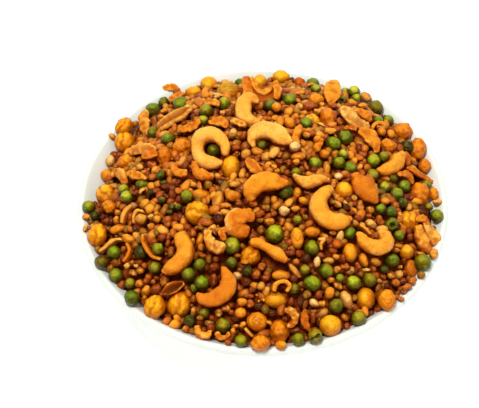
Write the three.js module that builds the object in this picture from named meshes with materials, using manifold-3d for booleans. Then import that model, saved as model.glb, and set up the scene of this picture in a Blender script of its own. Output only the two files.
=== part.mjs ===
// A shallow white bowl heaped with a fried, spiced mix of pulses, peas and nuts.
// Millimetres, +Z up. The origin is the middle of the foot ring, on the surface it stands on.

import * as THREE from "three";
import { mergeVertices } from "three/addons/utils/BufferGeometryUtils.js";
import Module from "manifold-3d";

// ---- driving dimensions ----

const BOWL = {
  lipRadius: 85.5, // middle of the rounded lip, 87.5 mm to its outer edge
  lipHeight: 40,
  wall: 4,
  floorRadius: 34,
  floorMiddle: 6, // height of the middle of the floor's thickness
  rise: 1.45, // exponent of the wall's curve from the floor to the lip
  footInner: 37,
  footOuter: 42,
  footBevel: 0.7,
};

const SIDES = 52; // facets around the bowl and the heap, which share them
const WALL_RINGS = 6; // rings of facets from the floor's edge to the lip, on either face

const HEAP = {
  dome: 26.5, // height of the crown above the line where the mix meets the wall
  fullness: 2.15, // exponent of the dome's section
  meetsWall: 39.4, // height of that line
  dips: [
    // stretches of the rim where the mix lies lower: direction, half width, depth
    { at: 163, wide: 18, deep: 3.0 },
    { at: 2, wide: 14, deep: 1.2 },
    { at: 98, wide: 12, deep: 1.4 },
  ],
  ripple: 0.3, // size of the small waves in that line
  gap: 0.3,
  topRings: 10,
};

// Large pieces half sunk in the heap. A bent piece is a stretch of a ring lying on the
// heap: radius and arc are its centre line's, turn is the way its hollow side faces, and
// lean tips it towards the front.
const CASHEWS = [
  { x: -24, y: 12.5, turn: -33, lean: 0.5, radius: 7.2, arc: 36, wide: 6.2, deep: 5.6 },
  { x: -6.5, y: 38.5, turn: 3, lean: 0.5, radius: 6.6, arc: 24, wide: 7.0, deep: 5.6 },
  { x: 2.5, y: 18.5, turn: -84, lean: 0.3, radius: 8.2, arc: 27, wide: 6.4, deep: 5.6 },
  { x: 1, y: -13, turn: -68, lean: 0.3, radius: 9, arc: 25, wide: 7.2, deep: 6.0 },
  { x: 29.5, y: -24.5, turn: 29, lean: 0.3, radius: 8.2, arc: 32, wide: 7.0, deep: 6.0 },
  { x: 50.5, y: -36, turn: 94, lean: 0.3, radius: 6.6, arc: 21.5, wide: 6.8, deep: 5.6 },
  { x: -38, y: -45.5, turn: 148, lean: 0.1, radius: 10.5, arc: 26.5, wide: 6.9, deep: 6.0 },
  { x: -19, y: -60, turn: 138, lean: 0.1, radius: 7.8, arc: 26, wide: 7.2, deep: 6.0 },
  { x: 61, y: 11.5, turn: 137, lean: 0.5, radius: 9.2, arc: 18, wide: 5.0, deep: 4.0 },
  { x: 23, y: -8.5, turn: 92, lean: 0.4, radius: 11.8, arc: 18.5, wide: 4.8, deep: 4.6 },
  { x: 3, y: -44, turn: -124, lean: 0.2, radius: 60, arc: 18, wide: 4.8, deep: 4.6 },
  { x: 48.5, y: -7.5, turn: -138, lean: 0.4, radius: 9, arc: 16.5, wide: 7.4, deep: 4.6 },
];

const CURLS = [
  { x: -10, y: -32, turn: -4, lean: 0.3, radius: 4.8, arc: 19.5, wide: 5.2, deep: 4.4 },
  { x: 0.5, y: 64.5, turn: 82, lean: 0.5, radius: 7.2, arc: 22.5, wide: 4.8, deep: 6.5 },
  { x: -23, y: -41.5, turn: 56, lean: 0.3, radius: 4.4, arc: 15.5, wide: 3.4, deep: 3.6 },
  { x: 12, y: -72, turn: -171, lean: 0.2, radius: 4.4, arc: 12.5, wide: 3.6, deep: 3.6 },
  { x: -25.5, y: -74, turn: 68, lean: 0.2, radius: 3.9, arc: 11.5, wide: 2.8, deep: 3.4, over: 2 },
  { x: -50.5, y: -37, turn: 28, lean: 0.3, radius: 11, arc: 15.5, wide: 2.8, deep: 5.0 },
  { x: -27.5, y: -1.5, turn: 59, lean: 0.4, radius: 7.3, arc: 12.5, wide: 3.6, deep: 3.4, over: -0.6 },
];

const FLAKES = [
  { x: -41.5, y: 42, turn: -71, lean: 0.5, radius: 30, arc: 14.5, wide: 5.6, deep: 3.4 },
  { x: -58, y: 47.5, turn: -10, lean: 0.5, radius: 25, arc: 12.5, wide: 5.8, deep: 3.0 },
  { x: -58, y: 26.5, turn: -92, lean: 0.4, radius: 30, arc: 14, wide: 4.8, deep: 3.0 },
  { x: 34.5, y: 63.5, turn: 179, lean: 0.5, radius: 18, arc: 11.5, wide: 8.0, deep: 3.2 },
  { x: 45, y: 38.5, turn: 66, lean: 0.4, radius: 22, arc: 14, wide: 5.0, deep: 3.2 },
  { x: 52, y: 26, turn: -137, lean: 0.4, radius: 10, arc: 13.5, wide: 5.6, deep: 3.0 },
  { x: 76.5, y: -18.5, turn: -133, lean: 0.1, radius: 14, arc: 12, wide: 4.4, deep: 3.2, over: 3 },
  { x: 72.5, y: -26.5, turn: 43, lean: 0.3, radius: 22, arc: 11.5, wide: 5.2, deep: 3.4 },
  { x: 16.5, y: 15.5, turn: -7, lean: 0.4, radius: 50, arc: 13, wide: 4.2, deep: 3.4 },
  { x: -40, y: -57, turn: 93, lean: 0.1, radius: 10, arc: 10, wide: 5.2, deep: 4.2 },
];

const PIECE_OVER = 1.2; // how far a large piece's middle lies above the heap's surface
const CASHEW_FACETS = { around: 10, along: 8 };
const SMALL_FACETS = { around: 8, along: 6 };

const COLOURS = {
  glaze: { color: 0xf4f3ee, roughness: 0.18, metalness: 0 },
  mix: { color: 0x8a4a12, roughness: 0.55, metalness: 0 },
  cashew: { color: 0xf5a53a, roughness: 0.55, metalness: 0 },
  chip: { color: 0xe8862a, roughness: 0.6, metalness: 0 },
};

// ---- bowl ----

const radians = THREE.MathUtils.degToRad;

// Height of the middle of the bowl's wall at a radius.
function wallMiddle(radius) {
  const run = Math.max(0, radius - BOWL.floorRadius) / (BOWL.lipRadius - BOWL.floorRadius);
  return BOWL.floorMiddle + (BOWL.lipHeight - BOWL.floorMiddle) * run ** BOWL.rise;
}

// Radius of a ring of facets of the wall, from 0 at the floor's edge.
function wallStation(i) {
  return BOWL.floorRadius + ((BOWL.lipRadius - BOWL.floorRadius) * i) / WALL_RINGS;
}

// A point of the wall's section: side is +1 on the inner face and -1 on the outer one.
function wallFace(radius, side, offset = BOWL.wall / 2) {
  const run = Math.max(0, radius - BOWL.floorRadius) / (BOWL.lipRadius - BOWL.floorRadius);
  const steepest = ((BOWL.lipHeight - BOWL.floorMiddle) * BOWL.rise) / (BOWL.lipRadius - BOWL.floorRadius);
  const slope = steepest * run ** (BOWL.rise - 1);
  const length = Math.hypot(1, slope);
  const reach = (side * offset) / length;
  return new THREE.Vector2(radius - reach * slope, wallMiddle(radius) + reach);
}

function bowlProfile() {
  const { floorRadius, floorMiddle, lipRadius, lipHeight, wall, footInner, footOuter, footBevel } = BOWL;
  const footTop = 6.4; // where the foot ring runs into the wall's outer face
  const points = [
    [0, floorMiddle - wall / 2],
    [footInner, floorMiddle - wall / 2],
    [footInner, footBevel],
    [footInner + footBevel, 0],
    [footOuter - footBevel, 0],
    [footOuter, footBevel],
    [footOuter, footTop],
  ].map(([r, z]) => new THREE.Vector2(r, z));
  for (let i = 2; i < WALL_RINGS; i++) points.push(wallFace(wallStation(i), -1));
  const lipSlope = Math.atan(
    ((lipHeight - floorMiddle) * BOWL.rise) / (lipRadius - floorRadius),
  );
  const lipSteps = 5;
  for (let i = 0; i <= lipSteps; i++) {
    const angle = lipSlope - Math.PI / 2 + (Math.PI * i) / lipSteps;
    points.push(new THREE.Vector2(
      lipRadius + (wall / 2) * Math.cos(angle),
      lipHeight + (wall / 2) * Math.sin(angle),
    ));
  }
  for (let i = WALL_RINGS - 1; i >= 0; i--) points.push(wallFace(wallStation(i), 1));
  points.push(new THREE.Vector2(0, floorMiddle + wall / 2));
  return points;
}

// A turned solid about Z from a section of radius and height.
function turned(profile, sides) {
  const geometry = new THREE.LatheGeometry(profile, sides);
  geometry.rotateX(Math.PI / 2);
  return geometry;
}

// ---- heap ----

// How far the mix's edge lies below its usual line in a direction.
function lowered(angle) {
  let sum = HEAP.ripple * (Math.sin(5 * angle + 1) + Math.sin(13 * angle) + Math.cos(8 * angle));
  for (const dip of HEAP.dips) {
    const turn = angle - radians(dip.at);
    const away = Math.atan2(Math.sin(turn), Math.cos(turn));
    sum += dip.deep * Math.exp(-((away / radians(dip.wide)) ** 2));
  }
  return sum;
}

// Where the mix meets the wall in a direction: the radius of the wall's middle there,
// the radius of the mix's edge and its height.
function contact(angle) {
  const height = HEAP.meetsWall - lowered(angle);
  let radius = BOWL.lipRadius;
  while (wallFace(radius, 1, BOWL.wall / 2 + HEAP.gap).y > height) radius -= 0.05;
  return { height, middle: radius, radius: wallFace(radius, 1, BOWL.wall / 2 + HEAP.gap).x };
}

// Low hills and hollows of the heap, fading out at its edge.
function hills(x, y, edge) {
  const broad = 1.5 * Math.sin(x / 11 + 0.7) * Math.cos(y / 13 - 0.4);
  const narrow = 0.9 * Math.sin(x / 6.1 - y / 7.3) + 0.6 * Math.cos(x / 3.9 + y / 4.4 + 1);
  return (broad + narrow) * (1 - edge ** 4);
}

function heapTop(x, y) {
  const { height, radius } = contact(Math.atan2(y, x));
  const edge = Math.min(1, Math.hypot(x, y) / radius);
  const rim = HEAP.meetsWall + (height - HEAP.meetsWall) * edge ** 4;
  return rim + HEAP.dome * (1 - edge ** HEAP.fullness) + hills(x, y, edge);
}

// The heap is turned from a unit section and then shaped: its lower rings are laid
// against the bowl's inner face, and its upper rings over the dome.
function heapSolid() {
  const lowerRings = WALL_RINGS + 1;
  const { topRings } = HEAP;
  const section = [];
  for (let i = 0; i <= lowerRings; i++) section.push(new THREE.Vector2(i / lowerRings, 0));
  for (let i = topRings - 1; i >= 0; i--) section.push(new THREE.Vector2(i / topRings, 1));
  const geometry = turned(section, SIDES);
  const place = geometry.attributes.position;
  const floor = BOWL.floorMiddle + BOWL.wall / 2 + HEAP.gap;
  for (let i = 0; i < place.count; i++) {
    const part = Math.hypot(place.getX(i), place.getY(i));
    const angle = Math.atan2(place.getY(i), place.getX(i));
    const line = contact(angle);
    if (part < 1e-6) {
      place.setXYZ(i, 0, 0, place.getZ(i) > 0.5 ? heapTop(0, 0) : floor);
    } else if (place.getZ(i) > 0.5) {
      const x = part * line.radius * Math.cos(angle);
      const y = part * line.radius * Math.sin(angle);
      place.setXYZ(i, x, y, heapTop(x, y));
    } else {
      const ring = Math.round(part * lowerRings);
      const middle = ring === lowerRings ? line.middle : wallStation(ring - 1);
      const face = wallFace(middle, 1, BOWL.wall / 2 + HEAP.gap);
      place.setXYZ(i, face.x * Math.cos(angle), face.x * Math.sin(angle), face.y);
    }
  }
  return geometry;
}

// ---- large pieces ----

// The heap's upward normal, tipped towards the front by lean.
function surfaceNormal(x, y, lean) {
  const reach = 4;
  const slopeX = (heapTop(x + reach, y) - heapTop(x - reach, y)) / (2 * reach);
  const slopeY = (heapTop(x, y + reach) - heapTop(x, y - reach)) / (2 * reach);
  const normal = new THREE.Vector3(-slopeX, -slopeY, 1).normalize();
  normal.y -= lean;
  return normal.normalize();
}

// A sphere drawn out along a bent line, thicker towards one end. grow swells it evenly.
function bentPiece({ radius, arc, wide, deep, facets }, grow) {
  const geometry = new THREE.SphereGeometry(1, facets.around, facets.along);
  const place = geometry.attributes.position;
  const half = (arc / 2 + grow) / radius;
  const middle = (radius * (1 - Math.cos(Math.min(half, Math.PI)))) / 2;
  for (let i = 0; i < place.count; i++) {
    const along = place.getY(i);
    const across = Math.hypot(place.getX(i), place.getZ(i));
    const around = Math.atan2(place.getZ(i), place.getX(i));
    const full = across < 1e-6 ? 0 : across ** 0.75 * (1 + 0.14 * along);
    const reach = radius - full * (wide / 2 + grow) * Math.cos(around);
    place.setXYZ(
      i,
      radius - reach * Math.cos(along * half) - middle,
      reach * Math.sin(along * half),
      full * (deep / 2 + grow) * Math.sin(around),
    );
  }
  geometry.computeVertexNormals();
  return geometry;
}

// The turned and tipped frame that a piece lies in.
function lyingFrame({ x, y, turn, lean, over = PIECE_OVER }) {
  const up = surfaceNormal(x, y, lean);
  const ahead = new THREE.Vector3(Math.cos(radians(turn)), Math.sin(radians(turn)), 0);
  ahead.addScaledVector(up, -ahead.dot(up)).normalize();
  const side = new THREE.Vector3().crossVectors(up, ahead);
  const frame = new THREE.Matrix4().makeBasis(ahead, side, up);
  return frame.setPosition(x, y, heapTop(x, y) + over);
}

// ---- joining and cutting ----

const wasm = await Module();
wasm.setup();

function solidOf(geometry) {
  const bare = geometry.clone();
  bare.deleteAttribute("normal");
  bare.deleteAttribute("uv");
  const merged = mergeVertices(bare, 1e-4);
  const corners = merged.index.array;
  const kept = [];
  for (let i = 0; i < corners.length; i += 3) {
    const [a, b, c] = [corners[i], corners[i + 1], corners[i + 2]];
    if (a !== b && b !== c && c !== a) kept.push(a, b, c);
  }
  return new wasm.Manifold(new wasm.Mesh({
    numProp: 3,
    vertProperties: new Float32Array(merged.attributes.position.array),
    triVerts: new Uint32Array(kept),
  }));
}

function geometryOf(solid) {
  const { vertProperties, triVerts } = solid.getMesh();
  const geometry = new THREE.BufferGeometry();
  geometry.setAttribute("position", new THREE.BufferAttribute(new Float32Array(vertProperties), 3));
  geometry.setIndex(new THREE.BufferAttribute(new Uint32Array(triVerts), 1));
  geometry.computeVertexNormals();
  return geometry;
}

function named(name, geometry, look) {
  const mesh = new THREE.Mesh(geometry, new THREE.MeshStandardMaterial(COLOURS[look]));
  mesh.name = name;
  return mesh;
}

function numbered(pieces, stem, look, facets) {
  return pieces.map((piece, i) => ({
    ...piece,
    look,
    facets,
    name: `${stem}_${String(i + 1).padStart(2, "0")}`,
  }));
}

// ---- the whole ----

const group = new THREE.Group();
group.add(named("bowl", turned(bowlProfile(), SIDES), "glaze"));

const pieces = [
  ...numbered(CASHEWS, "cashew", "cashew", CASHEW_FACETS),
  ...numbered(CURLS, "curl", "chip", SMALL_FACETS),
  ...numbered(FLAKES, "flake", "chip", SMALL_FACETS),
];

let heap = solidOf(heapSolid());
for (const piece of pieces) {
  const frame = lyingFrame(piece);
  heap = heap.subtract(solidOf(bentPiece(piece, HEAP.gap).applyMatrix4(frame)));
  const mesh = named(piece.name, bentPiece(piece, 0), piece.look);
  mesh.applyMatrix4(frame);
  group.add(mesh);
}
group.add(named("mix_heap", geometryOf(heap), "mix"));

export default group;
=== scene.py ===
"""A shallow white bowl heaped with fried, spiced peas, chickpeas, cashews, peanuts and small beans."""

import math
from collections import namedtuple
from functools import cached_property

import bpy
import numpy as np
from mathutils import Matrix, Vector


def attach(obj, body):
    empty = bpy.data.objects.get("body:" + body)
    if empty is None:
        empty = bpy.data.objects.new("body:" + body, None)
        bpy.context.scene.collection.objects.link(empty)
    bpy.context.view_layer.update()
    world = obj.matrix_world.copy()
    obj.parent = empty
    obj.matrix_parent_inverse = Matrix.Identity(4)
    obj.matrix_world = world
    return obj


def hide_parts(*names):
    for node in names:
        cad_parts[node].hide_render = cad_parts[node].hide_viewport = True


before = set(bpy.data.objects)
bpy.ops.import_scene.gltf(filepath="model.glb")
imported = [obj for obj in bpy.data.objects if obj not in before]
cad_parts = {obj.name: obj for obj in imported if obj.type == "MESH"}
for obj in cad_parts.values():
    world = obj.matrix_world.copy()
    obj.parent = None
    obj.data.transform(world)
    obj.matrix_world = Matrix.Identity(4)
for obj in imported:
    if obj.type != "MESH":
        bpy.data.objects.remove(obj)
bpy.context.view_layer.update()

MM = 0.001
RANDOM = np.random.default_rng(17)


# ---------------------------------------------------------------- the photograph's view

PHOTO_WIDE, PHOTO_HIGH = 479, 408
SENSOR_MM = 36.0
LENS_MM = 111.3
CAMERA_AT = np.array([0.0, -446.8, 578.8])
CAMERA_AIM = np.array([-10.93, -0.98, 39.2])
CAMERA_ROLL = math.radians(-1.6)
PIXELS_FOCAL = LENS_MM / SENSOR_MM * PHOTO_WIDE


def unit(vector):
    return vector / np.linalg.norm(vector)


def camera_axes():
    """Right, up and forward directions of the camera, rolled a little."""
    forward = unit(CAMERA_AIM - CAMERA_AT)
    level = unit(np.cross(forward, [0.0, 0.0, 1.0]))
    upright = np.cross(level, forward)
    right = level * math.cos(CAMERA_ROLL) + upright * math.sin(CAMERA_ROLL)
    return right, np.cross(right, forward), forward


RIGHT, UP, FORWARD = camera_axes()


def pixel_rays(pixels):
    """Directions from the camera through pixels of the photograph."""
    across = (pixels[:, :1] - PHOTO_WIDE / 2) / PIXELS_FOCAL
    down = (pixels[:, 1:] - PHOTO_HIGH / 2) / PIXELS_FOCAL
    rays = FORWARD + RIGHT * across - UP * down
    return rays / np.linalg.norm(rays, axis=1)[:, None]


def pixel_ray(x, y):
    return pixel_rays(np.array([[x, y]], dtype=float))[0]


# ---------------------------------------------------------------- the bowl and the heap's surface

LIP_RADIUS, LIP_HEIGHT, WALL = 85.5, 40.0, 4.0
FLOOR_RADIUS, FLOOR_MIDDLE, WALL_CURVE = 34.0, 6.0, 1.45
FOOT_INNER, FOOT_OUTER, FOOT_TOP = 37.0, 42.0, 6.4

DOME, FULLNESS, MEETS_WALL, RIPPLE = 26.5, 2.15, 39.4, 0.3
# Where the mix lies lower at its edge: the direction and the spread in degrees, and the depth.
DIPS = [(163, 18, 3.0), (2, 14, 1.2), (98, 12, 1.4)]
SECTION_POINTS, OUTER_WALL_FROM, EDGE_GAP = 256, 60.0, 0.3
# The stretch of a line of sight in which it meets the heap.
SIGHT_FROM, SIGHT_TO, SIGHT_STEPS = 560.0, 800.0, 1201


def wall_point(radius, offset):
    """A point of the wall's section, offset from the middle of its thickness, inwards if positive."""
    run = np.maximum(0.0, radius - FLOOR_RADIUS) / (LIP_RADIUS - FLOOR_RADIUS)
    height = FLOOR_MIDDLE + (LIP_HEIGHT - FLOOR_MIDDLE) * run**WALL_CURVE
    steepest = (LIP_HEIGHT - FLOOR_MIDDLE) * WALL_CURVE / (LIP_RADIUS - FLOOR_RADIUS)
    slope = steepest * run ** (WALL_CURVE - 1)
    reach = offset / np.hypot(1.0, slope)
    return radius - reach * slope, height + reach


def wall_height(radius):
    """Height of the bowl's inner face at a radius."""
    radii, heights = wall_point(np.linspace(FLOOR_RADIUS, LIP_RADIUS, SECTION_POINTS), WALL / 2)
    return np.interp(radius, radii, heights)


def mix_edge(angle):
    """Height and radius at which the mix meets the wall in a direction."""
    low = RIPPLE * (np.sin(5 * angle + 1) + np.sin(13 * angle) + np.cos(8 * angle))
    for middle, wide, deep in DIPS:
        turn = angle - math.radians(middle)
        away = np.arctan2(np.sin(turn), np.cos(turn))
        low = low + deep * np.exp(-((away / math.radians(wide)) ** 2))
    height = MEETS_WALL - low
    radii = np.linspace(OUTER_WALL_FROM, LIP_RADIUS, SECTION_POINTS)
    radii, heights = wall_point(radii, WALL / 2 + EDGE_GAP)
    return height, np.interp(height, heights, radii)


def heap_height(x, y):
    """Height of the heap's uneven surface."""
    edge_height, edge_radius = mix_edge(np.arctan2(y, x))
    edge = np.minimum(1.0, np.hypot(x, y) / edge_radius)
    rim = MEETS_WALL + (edge_height - MEETS_WALL) * edge**4
    broad = 1.5 * np.sin(x / 11 + 0.7) * np.cos(y / 13 - 0.4)
    narrow = 0.9 * np.sin(x / 6.1 - y / 7.3) + 0.6 * np.cos(x / 3.9 + y / 4.4 + 1)
    return rim + DOME * (1 - edge**FULLNESS) + (broad + narrow) * (1 - edge**4)


def heap_normal(x, y, lean=0.0, reach=4.0):
    """The heap's upward normal, tipped towards the front by lean."""
    slope_x = (heap_height(x + reach, y) - heap_height(x - reach, y)) / (2 * reach)
    slope_y = (heap_height(x, y + reach) - heap_height(x, y - reach)) / (2 * reach)
    normal = unit(np.array([-slope_x, -slope_y, 1.0]))
    return unit(normal - np.array([0.0, lean, 0.0]))


def on_heap(x, y, over):
    """Where the line of sight through a pixel reaches a height over the heap's surface."""
    along = np.linspace(SIGHT_FROM, SIGHT_TO, SIGHT_STEPS)
    points = CAMERA_AT + along[:, None] * pixel_ray(x, y)
    below = points[:, 2] < heap_height(points[:, 0], points[:, 1]) + over
    return points[int(np.argmax(below))]


# ---------------------------------------------------------------- what lies in the photograph
# Read one by one: the pixel of a piece's middle, then its size in pixels. A row may end with one number
# more than its kind's comment names: how many millimetres further out of the heap the piece lies than others
# like it.

# Peas: middle and width.
PEAS = {
    "dark": [
        (164, 103, 12), (270.5, 106, 14), (375.5, 108, 15), (391, 212, 12), (286, 192, 14.5),
        (262, 145, 11), (231.5, 263, 12), (336, 306, 15), (392, 178.5, 12), (240, 84, 11), (384, 163, 9),
        (132, 298, 16), (154, 133, 13),
    ],
    "mid": [
        (168, 139, 13), (289, 100.5, 14), (306.5, 123.5, 12), (388, 121, 12), (378, 121, 11),
        (345, 138, 14), (333, 144, 14), (369.5, 145, 12), (339, 163, 13), (350, 168, 13), (404, 186.5, 13),
        (396, 194.5, 14), (425, 186, 13), (437, 216, 12.5), (350, 233, 13), (187, 197, 13),
        (142.5, 184.5, 12), (88.5, 207, 13), (114.5, 253, 15), (158, 249, 12), (200, 264.5, 12),
        (188.5, 274, 14), (202, 282.5, 15), (326, 271, 15), (312.5, 283.5, 17), (380.5, 209, 11),
        (399, 235.5, 11), (392, 260.5, 14), (241, 341, 13), (116, 275.5, 15), (298.5, 339.5, 13),
        (312, 248, 16), (340, 278, 8), (423, 262.5, 16), (312.5, 84, 13), (181, 105, 17, 1),
        (153, 110, 15, 0.5),
    ],
    "light": [
        (203, 120.5, 10), (316, 89.5, 10), (356, 99, 11), (354, 91, 11), (373.5, 161, 14), (315, 163.5, 13),
        (124, 190, 12), (384.5, 187, 11), (231.5, 245.5, 18), (194, 288, 8), (353.5, 282.5, 15),
        (343, 154.5, 10), (213.5, 150, 12.5), (126.5, 197, 12, 2), (274.5, 234, 17.5, 1), (224, 104, 13),
        (345, 93.5, 11),
    ],
    "olive": [
        (383.5, 157, 11), (372.5, 175, 12), (296, 173, 11), (130, 283.5, 11), (155, 268, 13),
        (369.5, 280, 14), (358.5, 318.5, 15), (223, 325.5, 15), (204, 313, 11), (293.5, 289, 12),
        (297.5, 220, 10), (305, 270, 10), (429, 207, 8, 1.5), (206, 111, 14, 1.5),
    ],
    "holed": [
        (391.5, 225, 14), (341, 101, 12),
    ],
    "slit": [
        (315, 336.5, 15),
    ],
    "deep": [
        (101.5, 262, 14), (141, 253, 14), (190, 321, 12), (95, 216, 10), (247, 271, 11), (407, 147, 14),
        (402, 203, 11), (384, 269, 9),
    ],
}

# Chickpeas: middle, width, height, and the direction of the seam in degrees, by default the longer side's.
CHICKPEAS = {
    "lobed": [
        (97.5, 235.5, 20, 23, 90), (250.5, 256, 21, 20, 50), (154.5, 307, 22, 24, 70),
        (180, 305, 24, 27, 80), (312, 123, 18, 20, 100), (124.5, 142, 21, 22, 90),
        (105.5, 195, 22, 20, -45, 2), (197, 213, 25, 25, -15, 1.5), (124, 126.5, 20, 17, 60),
        (408, 221.5, 21, 22, 90, 3),
    ],
    "smooth": [
        (231, 168, 20, 26), (350, 253, 15, 20), (406, 252, 16, 16), (330.5, 325.5, 23, 22),
        (344, 191, 19, 19), (281, 77.5, 18, 15), (193.5, 93.5, 18, 15), (365.5, 299, 20, 23),
        (260, 82, 14, 16, 90, 2), (274.5, 300, 26, 18, -10, 2.5), (209, 85.5, 18, 19, 90, 1),
    ],
    "swirled": [
        (257, 321.5, 21, 20), (387, 300, 18, 22), (316.5, 100, 16, 13), (107, 175.5, 13, 13),
        (411, 269, 13, 19), (297, 238, 14, 22),
    ],
    "olive": [
        (229, 92, 26, 20, 10, 2),
    ],
    "rough": [
        (279.5, 331, 20, 23), (260.5, 343, 18, 16), (110, 207, 13, 13), (281, 345, 11, 9),
        (434, 194, 9, 13), (388, 146, 17, 14), (182, 148, 20, 19), (402, 132, 19, 18), (418, 149, 16, 22),
        (328, 118, 17, 21), (419, 195.5, 23, 24, 60, 1.5), (424.5, 166, 12, 14, 90),
        (165, 156, 17, 19, 90, 0.5), (126, 162.5, 18, 15, 15, 0.5),
    ],
}

# Split peanuts, fried dal and beans: middle, length, width, and the direction of the length in degrees, by
# default across the picture.
SPLITS = {
    "orange": [
        (200.5, 195, 21, 12), (233, 196, 17, 12, -10), (288.5, 112, 11, 9, 60), (290, 123, 14, 11, -50),
        (352, 103, 11, 8, -30), (206.5, 96, 10, 9), (318, 140, 10, 9, -40), (324.5, 154, 11, 10),
        (298.5, 156.5, 15, 9, 10), (281, 275.5, 19, 11), (128.5, 239, 16, 10, -20), (118, 229, 18, 9, 15),
        (312.5, 232, 16, 11), (363.5, 260, 15, 9, -70), (329.5, 293, 13, 10, 70), (305, 320, 20, 9, 80),
        (242, 302, 11, 9), (240.5, 313, 12, 11), (146, 291, 13, 9, 60), (171, 173, 10, 9),
        (385, 201, 10, 8), (297, 193, 12, 9, 80), (304, 201, 12, 8, -20), (206, 158, 11, 8, 30),
        (219, 230, 9, 6, 20), (200, 240, 12, 7, 75), (427, 223, 9, 6), (276.5, 107, 10, 10, 0, 2.5),
        (381.5, 132, 9, 9, 0, 2), (390.5, 134, 10, 8, 80, 1.5), (370, 235, 12, 7, -30, 3.5),
        (135, 124, 9, 7, 20),
    ],
    "tan": [
        (366, 97, 13, 9, -60), (246, 154, 12, 10, 60), (235, 184.5, 12, 7, 5), (218, 202, 24, 12, 85),
        (326.5, 168, 15, 8, 85), (361, 145, 20, 10, -55), (295, 271, 19, 6, -50), (157, 219, 9, 8),
        (391, 276, 9, 6, -20), (145, 204, 12, 10, 30), (376, 262, 12, 8, -20), (261, 286, 9, 8, 70),
        (323, 242, 14, 8, 20), (141, 219, 12, 11, 0, 2), (286, 237, 18, 8, 80, 1.5), (266, 157, 11, 10, 60),
        (310, 147, 17, 12, -35, 1),
    ],
    "pale": [
        (237, 275.5, 10, 8), (338.5, 176.5, 9, 8), (213, 243, 12, 9), (314, 303, 11, 8, -30),
        (317, 262, 11, 7, 80, 1.5), (133, 206, 9, 8), (406, 174, 10, 8, 0, 1.5),
        (110.5, 161, 12, 10, 90, 1), (413, 169, 13, 7, -30, 0.5), (284, 211, 11, 11, 0, 1.5),
        (295, 146.5, 11, 10, 0, 3.5), (346.5, 300, 20, 12, -65, 1),
    ],
    "brown": [
        (299.5, 83, 12, 12), (337, 244, 10, 9),
    ],
}

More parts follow.
